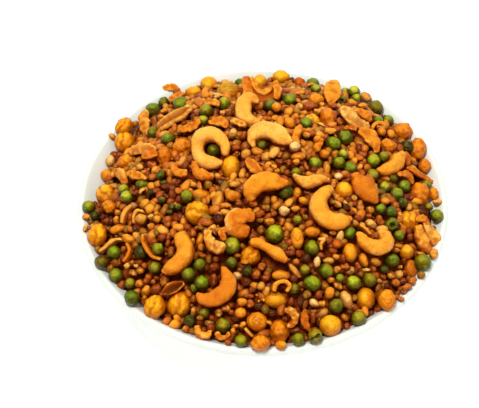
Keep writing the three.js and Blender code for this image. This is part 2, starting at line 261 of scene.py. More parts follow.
# Small beans, lentils and bits, given like the splits.
BEANS = {
    "dark": [
        (221, 182, 9, 7, -30), (281, 149, 10, 6), (103, 217, 6, 6), (218, 219, 11, 10), (283, 286, 9, 8),
        (308, 91, 6, 5), (422, 212, 12, 9, -20), (137, 228, 9, 8), (346, 207, 8, 6, -30),
        (306, 258, 9, 8, 60), (337, 113, 7, 5, 90), (207, 268, 6, 5, 90), (371, 313, 7, 5, 20),
        (387, 286, 6, 5), (350, 312, 7, 6), (300, 301, 12, 6, 80), (255, 149, 7, 7, 0, 1),
        (307, 193, 8, 8, 0, -1), (111, 220, 8, 5, 90, -1), (246, 282, 10, 9, 0, -1),
        (269, 287, 8, 8, 0, -1), (259, 306, 9, 8, 0, -1), (272, 313, 9, 7, 0, -1), (285, 319, 7, 6, 0, -1),
        (235, 319, 10, 5, 0, -1), (168, 316, 8, 5, 0, -1), (241, 239, 7, 5, 0, -1), (246, 202, 6, 5, 0, -1),
        (214, 174, 7, 6, 0, -1), (216, 112, 9, 8, 90, -0.5),
    ],
    "red": [
        (232, 127.5, 10, 8), (177, 92, 8, 6), (289, 163, 7, 5, 80), (279, 162, 8, 7), (136, 193, 7, 5),
        (185, 166, 10, 7, 60), (119, 264, 5, 5), (165, 250, 7, 6), (168, 243, 8, 5, 90),
        (216, 259, 7, 6, 60), (214, 267, 10, 8), (214, 280, 13, 7, 95), (252, 290, 7, 6), (258, 215, 7, 6),
        (303, 212, 7, 5, 70), (369, 216, 6, 5), (333, 251, 9, 6), (343, 258, 7, 5, 100), (398, 243, 10, 5),
        (383, 277, 6, 6), (403, 281, 7, 6), (404, 273, 6, 6), (410, 237, 8, 7, 90), (363, 155, 9, 7, -20),
        (212, 318, 6, 6), (228, 342.5, 7, 6), (157, 289, 9, 9), (313, 318, 12, 6, 100), (274, 214, 6, 6),
        (162, 238, 10, 8, 30), (309, 107, 13, 11, 0, 1), (333, 106, 9, 6, -20, 2), (229.5, 114, 8, 6, 90),
        (157, 191, 9, 6, 10), (302, 163, 8, 7), (294, 330, 12, 6, 10, 1.5), (283, 92, 14, 5, -15, 1),
        (291, 302, 9, 5, 80), (352, 213, 6, 5), (239, 204, 7, 5), (282, 250, 10, 4, 10),
    ],
    "brown": [
        (262, 114, 12, 8, -30), (340, 122, 9, 7, 100), (152, 165, 10, 9), (168, 222, 12, 9, 70),
        (318.5, 295, 9, 7, 80), (347, 326, 8, 6, 80), (148, 279, 11, 8, 60), (122, 284.5, 9, 8, 60),
        (154, 121, 9, 7, 60), (134, 138, 13, 6, 85), (280, 155, 7, 5, 80), (306, 166, 9, 4, 95),
        (412, 247, 9, 6, -40), (211, 223, 14, 6, -80), (266, 278, 7, 6), (191, 167, 5, 5), (401, 299, 7, 5),
        (412, 282, 7, 6, 30), (378, 309, 8, 5, 20), (320, 256, 8, 7), (395, 205.5, 8, 7),
        (407, 287, 10, 6, 20), (358, 266, 8, 5, -60, 1), (244, 135.5, 9, 6, 80, 1), (249, 296, 11, 5),
        (250, 304, 9, 8, 80), (253, 204, 9, 7), (262, 267, 9, 8, 30), (287, 173, 6, 5, 60),
        (236, 148, 9, 7), (131, 256, 12, 6, -25, 3), (193, 234, 9, 7, 80, 1), (396, 283, 9, 8, 0, 1),
        (107, 221, 6, 6, 0, 1), (394, 283, 8, 7, 0, 1), (267, 119, 10, 6, -10), (256, 275, 10, 8, 60),
        (296, 262, 7, 7), (169, 236, 8, 6, 80), (312, 134, 11, 6), (153.5, 282, 5, 5), (203, 256, 8, 4),
        (345, 267, 9, 7, 20), (380, 221, 12, 8, 100), (231, 312, 6, 5), (176, 219, 14, 11),
    ],
    "orange": [
        (303, 113.5, 10, 6, -15), (322, 105, 6, 6), (333, 185, 9, 6, 80), (295, 209, 10, 6),
        (392, 140, 9, 5), (360, 206, 13, 8, 80), (86, 217, 8, 6), (226, 206, 12, 6, -10),
        (131, 263.5, 9, 6, 20), (140, 270.5, 9, 7, -20), (139.5, 284, 9, 8), (269, 222, 11, 8),
        (282, 222, 9, 6, 85), (337, 270, 9, 7, 20), (331, 280, 8, 6), (192, 331, 8, 7, -30),
        (322, 304, 8, 7), (345, 318, 9, 6, -25), (305, 304, 11, 6, 70), (151, 226.5, 8, 7),
        (359, 168, 10, 6, 60), (165, 281, 12, 9, 70), (118, 213, 8, 7), (161, 117, 7, 6), (404, 292, 6, 5),
        (397, 297.5, 6, 5), (408, 286, 7, 6, 20), (346, 318, 8, 6), (269, 82, 11, 8, 60),
        (164, 111, 7, 5, 0, 1.5), (185.5, 329, 8, 7, 60, 1), (193, 241, 6, 5, 80, 2),
        (233, 333, 10, 6, 85, 1.5), (336, 257, 8, 6, -10), (300, 93, 10, 5), (296, 162, 7, 6, 0, 1.5),
        (318, 112, 9, 8, 0, 1), (384, 284.5, 10, 9, 60, 1), (395, 250, 9, 5, 0, 1), (401, 289, 6, 5, 0, 2),
        (398, 293, 6, 5, 40, 1), (259, 106, 9, 8, 60, 3.5), (144, 300, 10, 6, 80, 2.5),
        (362, 106, 9, 6, 10, 3), (380, 128, 8, 6, 0, 3), (434, 254, 11, 8, 60), (329, 131, 14, 6),
    ],
    "tan": [
        (194, 109, 9, 8), (223, 113, 6, 6), (192, 184, 14, 7, -25), (354, 198, 7, 7),
        (337, 204, 10, 6, -40), (274, 167, 6, 6), (299, 108, 9, 9), (140, 168, 8, 7),
        (133, 273, 10, 7, -20), (195.5, 256, 8, 6, 75), (260, 220, 8, 6), (333, 233, 8, 5),
        (328, 261, 12, 7), (350, 271, 10, 8, 60), (338, 286, 10, 7, -40), (370.5, 224, 12, 8, -30),
        (366, 270, 9, 4), (400, 267, 6, 4), (413, 280, 8, 5, 20), (379, 281, 6, 5), (370, 210, 9, 8),
        (226, 308.5, 9, 7, 20), (219, 313, 9, 8, 60), (209, 323, 10, 6), (243, 325, 8, 6, 45),
        (193.5, 312, 10, 6, 80), (112.5, 136.5, 8, 5, -30), (85.5, 228, 8, 5, 80), (151, 217, 7, 6),
        (136, 266, 5, 4, 0, 1.5), (217, 97, 6, 5, 0, 1), (331, 201, 8, 5, -40, 1),
        (117, 220, 8, 7, 80, 1.5), (110, 268, 8, 7, 0, 1), (361.5, 226.5, 9, 8, 60, 1),
        (306, 135, 9, 6, 0, 2), (127, 266, 6, 6, 0, 3), (437, 202, 9, 7, 30, 0.5),
    ],
    "olive": [
        (288, 84, 9, 8), (208, 185, 9, 9), (273, 149, 8, 6, 70), (266, 208, 9, 8), (267, 201, 10, 7, 80),
        (283, 170, 9, 7, 70), (90, 222, 6, 5), (357, 118, 8, 7), (261, 230, 9, 7, 80), (171, 254, 7, 6),
        (209, 259, 9, 6, 75), (330, 160, 9, 5, 90), (201, 228, 6, 4), (110, 183, 9, 5, 0, 1),
        (303, 97, 8, 5), (305, 217, 6, 6), (307, 295, 9, 9), (421, 275, 8, 7), (232, 136, 8, 6, 0, 2),
        (354, 184, 7, 6, -20, 1.5), (129, 215, 10, 7, 90, 2), (200, 318, 7, 5, 0, 2.5),
        (413, 163, 9, 5, -20, 2),
    ],
    "green": [
        (163, 183, 8, 6), (150, 193, 7, 6), (162, 200, 9, 7), (172, 207, 8, 7), (170, 212, 6, 5),
        (160.5, 175, 12, 8, 80, 1.5), (178.5, 207, 7, 6, 0, 1),
    ],
    "wine": [
        (172, 188, 9, 6, -30), (166, 196, 8, 5, -20), (166, 187, 10, 6, -20), (172.5, 195, 10, 7, 110),
        (178, 183, 8, 6, 40), (290, 253, 12, 6), (139, 263, 9, 7, 30), (243, 165, 9, 6, 80),
        (147.5, 176, 10, 6, 100),
    ],
}

# Cashews, curls, flakes and chips are bands: stations along the middle as pixel x, pixel y and width, then
# how far the piece leans towards the front, how far its face stands over the heap, and how pale it is.
CASHEWS = [
    ([(225, 153, 8), (224.8, 146, 9.5), (219.5, 137.5, 13), (210, 134, 15), (201, 137.5, 15),
      (197.4, 148, 12.5), (199.5, 157, 14), (207.5, 163, 14.5), (215.5, 163, 12),
      (220.5, 163, 6)], 0.5, 3.6, 0.84),
    ([(257, 101, 6), (251, 98.5, 11.5), (245.5, 101.5, 15), (243.7, 109, 17), (245, 116, 16),
      (250, 120, 11.5), (258, 122, 6)], 0.5, 3.6, 0.76),
    ([(253, 145.5, 4), (252, 139.5, 10.5), (256, 133, 14.5), (264, 130, 16), (273, 131.5, 17),
      (280, 136, 17.5), (286, 140, 13), (290, 142.5, 7)], 0.3, 3.6, 0.88),
    ([(250.5, 198, 10), (250.5, 193, 16), (254.5, 185.5, 19), (263, 181.5, 19.5), (272, 181.5, 18),
      (280, 182.5, 12.5), (286, 182.5, 6)], 0.3, 3.8, 0.5),
    ([(330, 189, 9), (325, 192.5, 13), (319.5, 199, 16), (318.5, 207, 18.5), (322, 214.5, 18.5),
      (329, 220, 18), (337, 222, 17.5), (344.5, 220.5, 14), (350, 218.5, 6)], 0.3, 3.8, 0.7),
    ([(359, 234, 6), (362.5, 239, 11.5), (369, 245, 14), (377, 248, 15.5), (384.5, 245.5, 16),
      (386, 238, 14), (382, 232.5, 8)], 0.3, 3.6, 0.7),
    ([(181.3, 237, 13), (183, 241.5, 14.5), (185, 248, 15.5), (184, 255.5, 15.5), (179, 262.5, 15),
      (171.5, 268, 13), (165, 272, 7)], 0.1, 3.4, 0.58),
    ([(222.5, 268, 4), (225.5, 273, 10), (228.5, 281, 15.5), (226.5, 290, 17), (219.5, 296.5, 17.5),
      (210.5, 299.5, 15.5), (203, 298, 12), (198, 294.5, 6)], 0.1, 3.4, 0.33),
    ([(401.5, 154, 7), (399, 157.5, 13), (396, 164, 14.5), (389, 168.5, 13), (382.5, 170.5, 10),
      (378.5, 170, 5)], 0.5, 3.2, 0.65),
    ([(295, 176, 5), (300, 179.5, 9.5), (307.5, 182.5, 13), (315.5, 180.5, 13.5), (322.5, 179, 9.5),
      (328, 179.5, 4.5)], 0.4, 3.4, 0.82),
    ([(253.5, 242.5, 9), (259, 243, 10.5), (265, 246.5, 8.5), (272, 250.5, 11), (279, 255, 12),
      (285, 259.5, 7)], 0.2, 3.6, 0.52),
    ([(356, 176, 8), (360.5, 183, 18), (366, 190, 19.5), (371.5, 196.5, 15),
      (375, 201, 7)], 0.4, 3.6, 0.34),
]
CURLS = [
    ([(251, 216.5, 10), (243.5, 215.5, 16), (236, 218, 19), (233.5, 224.5, 19), (238.5, 229.5, 17),
      (245.5, 231.5, 11)], 0.3, 3.2, 0.34),
    ([(247, 80, 7), (248.5, 88, 13), (255, 94.5, 13), (262, 96.5, 11), (269, 95.5, 11), (274.5, 91, 9),
      (277, 85, 6)], 0.45, 4.4, 0.1),
    ([(207.5, 233, 8), (208.5, 239, 9), (211.5, 245, 11), (217, 247.5, 12),
      (222, 246.5, 9)], 0.3, 4.6, 0.86),
    ([(287, 310, 5), (291, 311, 7), (294.5, 315.5, 8), (294.5, 320.5, 8), (292, 325, 6),
      (289.5, 326, 4)], 0.2, 3.8, 0.8),
    ([(197.5, 327, 5), (199, 332.5, 6.5), (203, 335.5, 8), (208, 335, 7.5), (210, 331, 5)], 0.2, 3.4, 0.58),
    ([(142.5, 235, 2.5), (143, 242, 3.2), (147.5, 251, 3.4), (153, 256.8, 3.4),
      (159.5, 259, 2.5)], 0.3, 3.6, 0.45),
    ([(193.5, 162, 4), (195, 168.5, 7.5), (199, 174, 10), (205.5, 175.5, 10),
      (211, 175.5, 6)], 0.4, 2.0, 0.44),
]
FLAKES = [
    ([(160, 127, 8), (166, 122.5, 11), (174, 117.5, 12), (182, 113, 11), (188, 109, 7)], 0.5, 3.0, 0.92),
    ([(145.5, 112.5, 5), (144.5, 117, 10), (144.3, 123, 11), (145, 129, 8.5),
      (145.5, 133, 4)], 0.5, 2.6, 0.8),
    ([(131, 153.5, 5), (135.5, 150.5, 9.5), (142, 149, 11), (149, 148.5, 9.5),
      (154, 149.5, 6)], 0.4, 2.6, 0.8),
    ([(332.5, 86.5, 15), (332.5, 90, 17), (332, 95, 17), (331, 100, 12), (330.5, 103, 6)], 0.5, 3.4, 0.66),
    ([(342.5, 108.5, 6), (346, 112.5, 10.5), (350.5, 117.5, 11.5), (357, 122.5, 10), (363, 125, 9),
      (368, 126.5, 5)], 0.4, 2.8, 0.94),
    ([(360.5, 131, 6), (367, 134, 12), (372, 139, 12.5), (375.5, 145.5, 9), (376, 151, 5)], 0.4, 2.4, 0.5),
    ([(425.5, 223, 5), (428.5, 228, 8.5), (432, 233.5, 10.5), (434.5, 239, 10),
      (434.5, 243, 6)], 0.1, 4.2, 0.92),
    ([(417.5, 227, 6), (419.5, 232.5, 9.5), (422.5, 239, 12), (425.5, 245.5, 12),
      (428, 249.5, 7)], 0.3, 3.0, 0.66),
    ([(300.5, 127, 5), (297.5, 132.5, 8.5), (295, 139, 9), (295, 145, 10),
      (296, 149.5, 6)], 0.4, 2.8, 0.52),
    ([(164.5, 292.5, 6), (169, 290, 10), (175, 286.5, 11), (180.5, 284, 7)], 0.1, 2.8, 0.34),
]
CHIPS = [
    ([(245.5, 79.5, 8), (246.5, 85, 11), (248, 91, 10)], 0.45, 5.8, 0.34),
    ([(252, 78.5, 4), (254, 84, 5), (257, 89.5, 5), (263, 92.5, 5), (269, 90.5, 5),
      (272.5, 85, 4.5)], 0.45, 6.4, 0.6),
    ([(275.5, 83.5, 6), (277.8, 90, 7.5), (277, 97, 6)], 0.5, 5.4, 0.56),
    ([(115.5, 171, 5), (119, 172.5, 9), (122.5, 176.5, 8.5), (125, 181.5, 7)], 0.4, 2.6, 0.75),
    ([(129.5, 173.5, 6), (134, 174.5, 9), (139, 176, 8), (144, 178, 4)], 0.4, 2.8, 0.55),
    ([(144, 157, 4), (149, 155.5, 8.5), (154.5, 153.5, 7.5)], 0.4, 2.4, 0.45),
    ([(164.5, 88, 5), (168.5, 87.5, 7.5), (174, 87.5, 7.5), (179.5, 89.5, 4)], 0.6, 3.0, 0.7),
    ([(171.5, 99.5, 6), (176.5, 97, 7), (182, 93.5, 4)], 0.5, 2.4, 0.5),
    ([(357, 110.5, 5), (362, 113, 7.5), (367, 117, 7), (369.5, 120.5, 4)], 0.4, 2.4, 0.5),
    ([(400, 173.5, 5), (405.5, 174.5, 7), (410, 178, 5), (412.5, 183, 3)], 0.3, 2.8, 0.4),
    ([(407.5, 167.5, 3), (413.5, 170.5, 5), (420, 174.5, 5.5), (427, 178.5, 5),
      (432.5, 183, 3)], 0.3, 3.4, 0.42),
    ([(247.5, 160.5, 5), (251.5, 164, 9.5), (256, 168.5, 10.5), (260, 172, 6)], 0.4, 2.4, 0.45),
    ([(210, 122.5, 4), (215, 121.5, 7), (221, 121.5, 9), (226, 125.5, 7)], 0.4, 2.4, 0.5),
    ([(178, 163.5, 4), (175, 166.5, 5.5), (176, 171, 7), (180.5, 173.5, 8.5),
      (185, 173.5, 6)], 0.3, 2.4, 0.5),
    ([(180.5, 131, 4), (186.5, 128.5, 8), (193, 126, 8.5), (198.5, 122, 5)], 0.4, 2.2, 0.5),
    ([(206, 103.5, 5), (212, 102, 6), (218, 104, 5)], 0.5, 2.2, 0.7),
    ([(418, 219, 5), (422, 219, 8), (427, 221, 5)], 0.2, 3.4, 0.6),
    ([(217, 334, 4), (220.5, 337.5, 6.5), (225, 337.5, 6.5), (228.5, 334, 4)], 0.2, 3.4, 0.55),
    ([(402, 153.5, 6), (407.5, 158, 6.5), (407.5, 164, 5)], 0.4, 2.6, 0.4),
    ([(345, 128.5, 4), (350, 127.5, 5.5), (355, 129, 4)], 0.4, 2.0, 0.3),
    ([(233, 121, 4), (238, 122.5, 6), (244, 125, 5)], 0.4, 2.6, 0.85),
    ([(224, 239, 5), (221, 232, 6), (226, 229, 5)], 0.3, 1.6, 0.4),
    ([(322, 140, 4), (319, 144, 7), (316, 149, 6)], 0.4, 1.6, 0.4),
    ([(305, 310, 4), (304.5, 317, 8), (306, 325, 8), (310, 330, 4)], 0.2, 2.2, 0.3),
]
# Shells and skins stand on edge, open upwards.
SHELLS = [
    ([(100, 251, 2.5), (105, 247, 3), (110, 242.5, 3.5), (115, 239.5, 3), (120, 239, 2.5)], 0.1, 3.2, 0.9),
    ([(127, 244, 2.5), (129, 250, 3), (127, 256, 3), (123.5, 261, 2.5)], 0.1, 2.8, 0.35),
    ([(274.5, 290, 4), (275.3, 285.5, 4.5), (280, 281.8, 3.5), (286.5, 281.8, 4), (289.8, 286, 4),
      (287.5, 290.5, 3.5)], 0.2, 2.8, 0.7),
    ([(373, 128, 3), (375, 124, 3.5), (380, 122.5, 3.5), (384.5, 125, 3.5),
      (384, 128.5, 3)], 0.4, 2.8, 0.6),
    ([(370, 233.5, 2.5), (366, 229, 3), (361, 225, 3)], 0.2, 2.8, 0.7),
    ([(245.5, 329, 2.5), (249, 333, 3), (252, 336, 2.5)], 0.1, 3.0, 0.8),
    ([(319.5, 239, 3), (324, 239.5, 3.5), (321, 244, 3), (321.5, 249, 2.5)], 0.2, 2.6, 0.85),
    ([(133.5, 222, 2.5), (134, 215, 3), (137, 210.5, 3), (142, 211, 2.5)], 0.1, 2.4, 0.75),
    ([(121.5, 222, 3), (123, 215, 4), (126.5, 209, 4), (130, 206, 3)], 0.1, 2.4, 0.8),
]

# A band's form: how thick it is above and below its widest line, how boxy its edges are, how deep and how
# narrow the groove along its face is, how far its sides curl up, how much wider its foot is, how lumpy it is.
Form = namedtuple("Form", "top bottom boxy groove narrow cup flare lumps")
FORMS = {
    "cashew": Form(2.6, 4.4, 0.76, 0.0, 1.0, 0.0, 0.0, 1.2),
    "round": Form(2.8, 2.8, 0.9, 0.0, 1.0, 0.0, 0.0, 0.6),
    "curl": Form(2.2, 3.6, 0.82, 0.0, 1.0, 0.3, 0.0, 2.2),
    "cup": Form(1.0, 5.0, 0.7, 0.0, 1.0, 0.4, 0.2, 0.9),
    "flake": Form(1.2, 1.8, 0.75, 0.0, 1.0, 0.5, 0.0, 1.7),
    "pod": Form(1.2, 1.8, 0.7, 2.2, 0.22, 0.0, 0.0, 1.8),
    "open": Form(1.2, 2.4, 0.7, 3.6, 0.7, 0.7, 0.0, 1.2),
    "shell": Form(0.5, 4.0, 0.8, 0.0, 1.0, 0.0, 0.3, 0.4),
}
# How dark the painted shade inside an opened form is.
INSIDE_SHADE = {"pod": 0.4, "open": 1.0, "shell": 0.9, "cup": 0.3}
# Each kind of band: the piece it makes, its rows, its usual form and the forms that differ, its finish, its
# slot, and the stem of the nodes it stands for.
Kind = namedtuple("Kind", "piece rows usual others finish slot stem")
MIXED_FLAKES = {1: "pod", 8: "curl", 9: "curl", 10: "open"}
BANDS = [
    Kind("cashews", CASHEWS, "cashew", {11: "round"}, "nut", "cashew", "cashew"),
    Kind("curled_chips", CURLS, "curl", {2: "cup", 6: "shell"}, "chip", "chip", "curl"),
    Kind("flat_flakes", FLAKES, "flake", MIXED_FLAKES, "chip", "chip", "flake"),
    Kind("broken_chips", CHIPS, "flake", {}, "chip", "chip", None),
    Kind("open_shells", SHELLS, "shell", {}, "chip", "chip", None),
]


# ---------------------------------------------------------------- modelling helpers


def alone(thing):
    """Makes an object the only selected one."""
    bpy.ops.object.select_all(action="DESELECT")
    thing.select_set(True)
    bpy.context.view_layer.objects.active = thing


def ball(size, detail):
    """An icosphere of a size in millimetres."""
    bpy.ops.object.select_all(action="DESELECT")
    bpy.ops.mesh.primitive_ico_sphere_add(subdivisions=detail, radius=1.0)
    thing = bpy.context.object
    thing.scale = [0.5 * side * MM for side in size]
    bpy.ops.object.transform_apply(location=False, rotation=False, scale=True)
    return thing


def places(mesh):
    """The places of a mesh's vertices, as rows."""
    points = np.empty(len(mesh.vertices) * 3)
    mesh.vertices.foreach_get("co", points)
    return points.reshape(-1, 3)


def pick(thing, test):
    """Goes to edit mode with the vertices that pass a test of their place, in millimetres, selected."""
    alone(thing)
    bpy.ops.object.mode_set(mode="EDIT")
    bpy.ops.mesh.select_mode(type="VERT")
    bpy.ops.mesh.select_all(action="DESELECT")
    bpy.ops.object.mode_set(mode="OBJECT")
    for corner in thing.data.vertices:
        corner.select = bool(test(*(corner.co / MM)))
    bpy.ops.object.mode_set(mode="EDIT")


def shift(thing, test, move, size=(1, 1, 1)):
    """Scales and moves the vertices that pass a test."""
    pick(thing, test)
    bpy.ops.transform.resize(value=size)
    bpy.ops.transform.translate(value=[part * MM for part in move])
    bpy.ops.object.mode_set(mode="OBJECT")


def modifier(thing, kind, **settings):
    """Adds a modifier and applies it."""
    alone(thing)
    added = thing.modifiers.new(kind.title(), kind)
    for key, value in settings.items():
        setattr(added, key, value)
    bpy.ops.object.modifier_apply(modifier=added.name)


SEED_START, SEED_STEP = (5.0, 0.0, 0.0), (37.0, 11.0, -23.0)


def relief(thing, kind, size, strength, seed, middle=0.5, group="", **settings):
    """Pushes the surface, or a group of its vertices, in and out by a texture, read where the seed picks."""
    texture = bpy.data.textures.new(f"{thing.name}_{kind.lower()}", kind)
    texture.noise_scale = size * MM
    for key, value in settings.items():
        setattr(texture, key, value)
    away = (Vector(SEED_STEP) * seed + Vector(SEED_START)) * MM
    thing.data.transform(Matrix.Translation(away))
    modifier(thing, "DISPLACE", texture=texture, strength=strength * MM, mid_level=middle, vertex_group=group)
    thing.data.transform(Matrix.Translation(-away))
    bpy.data.textures.remove(texture)


CREASE_SPREAD, CREASE_GAIN = 3, 9.0


def creases(points, corners):
    """How hollow the surface is at each vertex, from about -1 on ridges to 1 in furrows."""
    pairs = np.concatenate([corners[:, sides] for sides in ([0, 1], [1, 2], [2, 0])])
    first, second, third = (points[corners[:, side]] for side in range(3))
    total = np.zeros_like(points)
    count = np.zeros(len(points))
    lengths = np.linalg.norm(points[pairs[:, 0]] - points[pairs[:, 1]], axis=1)
    for near, far in ((0, 1), (1, 0)):
        np.add.at(total, pairs[:, near], points[pairs[:, far]])
        np.add.at(count, pairs[:, near], 1)
    faces = np.cross(second - first, third - first)
    normals = np.zeros_like(points)
    for side in range(3):
        np.add.at(normals, corners[:, side], faces)
    normals /= np.maximum(1e-12, np.linalg.norm(normals, axis=1))[:, None]
    hollow = ((total / count[:, None] - points) * normals).sum(axis=1) / lengths.mean()
    for _ in range(CREASE_SPREAD):
        spread = hollow.copy()
        for near, far in ((0, 1), (1, 0)):
            np.add.at(spread, pairs[:, near], hollow[pairs[:, far]])
        hollow = spread / (count + 1)
    return np.clip((hollow - np.median(hollow)) * CREASE_GAIN, -1, 1)


class Master:
    """A modelled shape in millimetres: its points, its triangles, how creased it is, and where it is open."""

    def __init__(self, thing):
        modifier(thing, "TRIANGULATE")
        mesh = thing.data
        self.points = places(mesh) / MM
        self.corners = np.empty(len(mesh.polygons) * 3, dtype=np.int64)
        mesh.polygons.foreach_get("vertices", self.corners)
        self.corners = self.corners.reshape(-1, 3)
        self.crease = creases(self.points, self.corners)
        self.inner = np.ones(len(self.points))
        bpy.data.objects.remove(thing)
        bpy.data.meshes.remove(mesh)


# The joined pieces, and how far apart the materials of two copies may be read.
LOOSE = []
FAR_APART = 400


def joined(name, copies):
    """One mesh of many copies: each is a master, its place, its turn, its size, a tint and a tone."""
    points, corners, local = [], [], []
    looks = {"tint": [], "tone": [], "crease": []}
    start = 0
    for master, place, turn, size, tint, tone in copies:
        shaped = master.points * size
        points.append(shaped @ turn.T + place)
        corners.append(master.corners + start)
        local.append(shaped + RANDOM.uniform(-FAR_APART, FAR_APART, 3))
        looks["crease"].append(master.crease)
        looks["tint"].append(np.full(len(shaped), tint))
        # The tone is how olive a large piece or grain is; on a band it is the painted shade inside an opened
        # form.
        looks["tone"].append(master.inner * tone)
        start += len(shaped)
    points, corners = np.concatenate(points), np.concatenate(corners)
    mesh = bpy.data.meshes.new(name)
    mesh.vertices.add(len(points))
    mesh.vertices.foreach_set("co", (points * MM).ravel())
    mesh.loops.add(corners.size)
    mesh.loops.foreach_set("vertex_index", corners.ravel())
    mesh.polygons.add(len(corners))
    mesh.polygons.foreach_set("loop_start", np.arange(0, corners.size, 3))
    mesh.update(calc_edges=True)
    mesh.polygons.foreach_set("use_smooth", np.ones(len(corners), dtype=bool))
    for key, values in looks.items():
        mesh.attributes.new(key, "FLOAT", "POINT").data.foreach_set("value", np.concatenate(values))
    around = mesh.attributes.new("local", "FLOAT_VECTOR", "POINT")
    around.data.foreach_set("vector", np.concatenate(local).ravel())
    mesh.validate()
    piece = bpy.data.objects.new(name, mesh)
    bpy.context.collection.objects.link(piece)
    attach(piece, "root")
    LOOSE.append(piece)
    return piece


def turned(up, ahead):
    """A turn that takes Z to up and X as near to ahead as it can."""
    up = unit(up)
    ahead = unit(ahead - up * (ahead @ up))
    return np.stack([ahead, np.cross(up, ahead), up], axis=1)


def any_turn():
    """A random turn."""
    return turned(RANDOM.normal(size=3), RANDOM.normal(size=3))


# ---------------------------------------------------------------- shapes of the mix


def pea(seed, kind="whole"):
    """A dried pea: round, dimpled and wrinkled, whole, with a hole on top, or with a slit."""
    thing = ball((7.4, 7.3, 7.1), 4)
    if kind == "holed":
        shift(thing, lambda x, y, z: z > 0 and math.hypot(x, y) < 1.7, (0, 0, -1.2), (0.8, 0.8, 1))
        shift(thing, lambda x, y, z: z > 0 and math.hypot(x, y) < 1.0, (0, 0, -1.6))
    if kind == "slit":
        shift(thing, lambda x, y, z: z > 0 and abs(y) < 0.5 and abs(x) < 2.6, (0, 0, -1.6))
    relief(thing, "CLOUDS", 3.2, 1.0, seed)
    relief(thing, "VORONOI", 2.1, 0.42, seed + 3, middle=0.3)
    relief(thing, "CLOUDS", 0.9, 0.3, seed + 5)
    return Master(thing)


# How uneven each kind of chickpea is.
CHICKPEA_RELIEF = {"lobed": 0.8, "smooth": 0.45, "swirled": 0.7, "olive": 0.7, "rough": 1.0}


def chickpea(seed, kind):
    """A roasted chickpea, with two lobes and a seam, a beak, ribs, rings round a navel, or rough skin."""
    thing = ball((10.4, 10.0, 9.4), 4)
    if kind == "lobed":
        shift(thing, lambda x, y, z: abs(y + 0.5 * math.sin(x + seed)) < 1.2 and z > -1.5, (0, 0, -0.5))
        shift(thing, lambda x, y, z: abs(y + 0.5 * math.sin(x + seed)) < 0.4 and z > -1.5, (0, 0, -0.8))
        shift(thing, lambda x, y, z: abs(y - 2.6 + 0.4 * math.cos(x)) < 0.35 and z > 1.5, (0, 0, -0.4))
    if kind in ("lobed", "olive"):
        shift(thing, lambda x, y, z: x > 4.0, (0.3, 0, -0.3), (1, 0.9, 0.85))
    if kind == "olive":
        for across in (-2.4, -0.8, 0.8, 2.4):
            shift(thing, lambda x, y, z: abs(y - across) < 0.35 and z > 0.5, (0, 0, -0.6))
    if kind == "swirled":
        for ring, deep in ((3.5, 0.7), (2.1, 0.9), (0.7, 0.6)):
            test = lambda x, y, z: z > 0 and abs(math.hypot(x - 0.25 * ring, y + 0.2 * seed) - ring) < 0.36
            shift(thing, test, (0, 0, -deep))
    if kind == "rough":
        relief(thing, "VORONOI", 2.6, 1.5, seed, middle=0.4)
    modifier(thing, "SMOOTH", factor=0.5, iterations=1)
    uneven = CHICKPEA_RELIEF[kind]
    relief(thing, "CLOUDS", 4.5, 1.9 * uneven, seed + 1)
    relief(thing, "CLOUDS", 1.8, 0.8 * uneven, seed + 2)
    relief(thing, "CLOUDS", 0.8, 0.3 * uneven, seed + 4)
    return Master(thing)


def split(seed, kind):
    """Half a nut or bean: domed above and flat below, a little bent."""
    thing = ball((10, 6.4, 5.6), 3)
    shift(thing, lambda x, y, z: z < -0.6, (0, 0, 1.1), (1, 1, 0.15))
    if kind == "pale":
        shift(thing, lambda x, y, z: x > 3.2, (0.5, 0, 0), (1, 0.7, 0.8))
    modifier(thing, "SMOOTH", factor=0.5, iterations=1)
    relief(thing, "CLOUDS", 3.0, 1.5, seed)
    relief(thing, "CLOUDS", 1.2, 0.6, seed + 2)
    return Master(thing)


def half(seed):
    """A small half of a nut or a fried dal grain."""
    thing = ball((6.1, 4.3, 3.8), 2)
    shift(thing, lambda x, y, z: z < -0.4, (0, 0, 0.7), (1, 1, 0.2))
    relief(thing, "CLOUDS", 2.2, 1.5, seed)
    relief(thing, "VORONOI", 1.9, 0.5, seed + 3, middle=0.4)
    return Master(thing)


def bean(seed, detail=2):
    """A small fried bean, such as a moth bean: an oblong with blunt ends."""
    thing = ball((5.3, 3.9, 3.6), detail)
    shift(thing, lambda x, y, z: abs(x) < 0.6 and z > 1.2, (0, 0, -0.2))
    relief(thing, "CLOUDS", 2.0, 1.6, seed)
    relief(thing, "VORONOI", 1.7, 0.6, seed + 3, middle=0.4)
    return Master(thing)


def lentil(seed):
    """A lens-shaped lentil with a blunt edge."""
    thing = ball((4.7, 4.4, 2.6), 2)
    relief(thing, "CLOUDS", 1.8, 1.0, seed)
    return Master(thing)


def crumb(seed):
    """A broken angular bit."""
    thing = ball((3.8, 3.0, 2.4), 2)
    relief(thing, "VORONOI", 1.7, 1.2, seed, middle=0.4)
    relief(thing, "CLOUDS", 0.9, 0.5, seed + 1)
    return Master(thing)


def speck(seed):
    """The finest loose crumb."""
    thing = ball((1.9, 1.5, 1.3), 1)
    relief(thing, "CLOUDS", 0.8, 0.8, seed)
    return Master(thing)


def husk(seed):
    """A thin curved bit of skin."""
    thing = ball((5.6, 5.6, 5.6), 2)
    pick(thing, lambda x, y, z: z < 0.7)
    bpy.ops.mesh.delete(type="VERT")
    bpy.ops.object.mode_set(mode="OBJECT")
    thing.scale = (1.3, 0.8, 0.8)
    bpy.ops.object.transform_apply(location=False, rotation=False, scale=True)
    relief(thing, "CLOUDS", 2.0, 1.0, seed)
    modifier(thing, "SOLIDIFY", thickness=0.45 * MM)
    return Master(thing)


